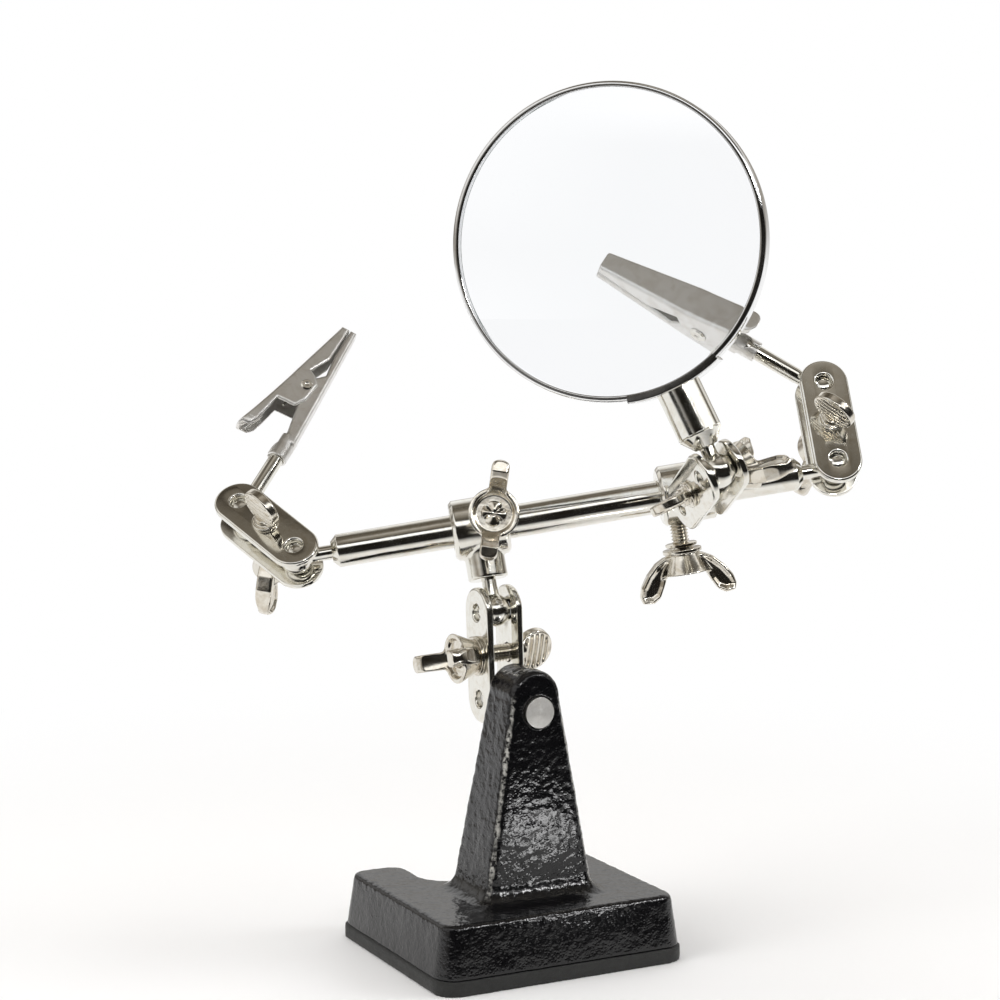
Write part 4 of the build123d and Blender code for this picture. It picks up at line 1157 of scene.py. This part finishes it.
# Tones of the room. Each stop is an angle in degrees and a tone.
# Turns are counted from the camera toward its right, heights from level.
IN_FRONT = ((-46, 0.0), (-24, 1.0), (82, 1.0), (100, 0.0))
FRONT_HEIGHTS = (
    (-34, 0.95), (-20, 0.015), (22, 0.01), (27, 1.6), (38, 1.6), (43, 0.04),
    (56, 0.22), (74, 0.52), (86, 0.42),
)
SIDE_HEIGHTS = (
    (-45, 0.8), (-4, 1.0), (6, 0.30), (13, 0.85), (30, 1.2), (48, 0.8), (62, 0.16), (86, 0.22),
)
SIDE_FLAGS = (
    (-150, 1.0), (-142, 0.12), (-134, 0.9), (-112, 0.8), (-102, 0.12), (-90, 0.9),
    (-66, 0.95), (100, 0.9), (106, 0.15), (118, 0.15), (126, 0.95), (160, 1.0),
)


def make_world():
    """A white studio: the camera's side is a dark room above and below a bright strip."""
    world = bpy.data.worlds.new("studio")
    bpy.context.scene.world = world
    world.use_nodes = True
    tree = world.node_tree
    tree.nodes.clear()

    def calc(operation, a, b=0.0):
        """Arithmetic on values or sockets."""
        return add_node(tree, "ShaderNodeMath", {0: a, 1: b}, operation=operation).outputs[0]

    def part_along(direction, toward):
        """How much of a direction points toward another."""
        inputs = {0: direction, 1: toward}
        return add_node(tree, "ShaderNodeVectorMath", inputs, operation="DOT_PRODUCT").outputs["Value"]

    def tones(share, stops, span):
        """Warm tones at angles, over a share of a span in degrees that has its middle at 0.5."""
        return add_ramp(tree, share, [(0.5 + degrees / span, warm(tone)) for degrees, tone in stops])

    direction = add_node(tree, "ShaderNodeTexCoord").outputs["Generated"]
    height = add_node(tree, "ShaderNodeSeparateXYZ", {"Vector": direction}).outputs["Z"]
    turn = calc("ARCTAN2", part_along(direction, CAMERA_RIGHT), part_along(direction, TOWARD_CAMERA))
    turn_share = calc("ADD", calc("DIVIDE", turn, 2 * math.pi), 0.5)
    up_share = calc("ADD", calc("DIVIDE", calc("ARCSINE", height), math.pi), 0.5)
    side_tones = tones(up_share, SIDE_HEIGHTS, 180)
    sides = add_mix(tree, 1.0, side_tones, tones(turn_share, SIDE_FLAGS, 360), "MULTIPLY")
    room = add_mix(tree, tones(turn_share, IN_FRONT, 360), sides, tones(up_share, FRONT_HEIGHTS, 180))
    lit = add_node(tree, "ShaderNodeBackground", {"Color": room, "Strength": 0.95})
    plain = add_node(tree, "ShaderNodeBackground", {"Color": (1, 1, 1, 1), "Strength": 1.0})
    rays = add_node(tree, "ShaderNodeLightPath").outputs
    straight = calc("MAXIMUM", rays["Is Camera Ray"], rays["Is Transmission Ray"])
    chosen = add_node(tree, "ShaderNodeMixShader", {0: straight, 1: lit.outputs[0], 2: plain.outputs[0]})
    wire(tree, chosen.outputs[0], add_node(tree, "ShaderNodeOutputWorld").inputs["Surface"])


def add_softbox(name, place_m, aim_m, width, height, power, glint=False):
    """An area light, in metres and watts. A softbox only lights surfaces and a glint only shows in them."""
    data = bpy.data.lights.new(name, "AREA")
    data.shape = "RECTANGLE"
    data.size = width
    data.size_y = height
    data.energy = power
    box = add_object(name, data)
    place_m = Vector(place_m)
    box.location = place_m
    box.rotation_euler = (Vector(aim_m) - place_m).to_track_quat("-Z", "Y").to_euler()
    box.visible_glossy = glint
    box.visible_diffuse = not glint
    box.visible_camera = False
    box.visible_transmission = False


make_floor()
make_world()

MIDDLE = (0, 0, 0.09)
PILLAR_FOOT = (0, 0, 0.03)
add_softbox("softbox_left", (-0.75, -0.05, 0.45), MIDDLE, 0.5, 0.6, 3.0)
add_softbox("softbox_right", (0.70, -0.35, 0.50), MIDDLE, 0.35, 0.5, 2.2)
add_softbox("softbox_top", (0.05, 0.15, 0.95), MIDDLE, 0.7, 0.7, 3.0)
add_softbox("glint_high", (0.30, -0.42, 0.38), PILLAR_FOOT, 0.10, 0.06, 0.55, glint=True)
add_softbox("glint_left", (-0.10, -0.60, 0.42), PILLAR_FOOT, 0.08, 0.05, 0.35, glint=True)
add_softbox("glint_low", (0.022, -0.058, 0.021), (0, -0.013, 0.024), 0.020, 0.006, 0.004, glint=True)

settings = bpy.context.scene.view_settings
settings.view_transform = "Standard"
settings.look = "None"
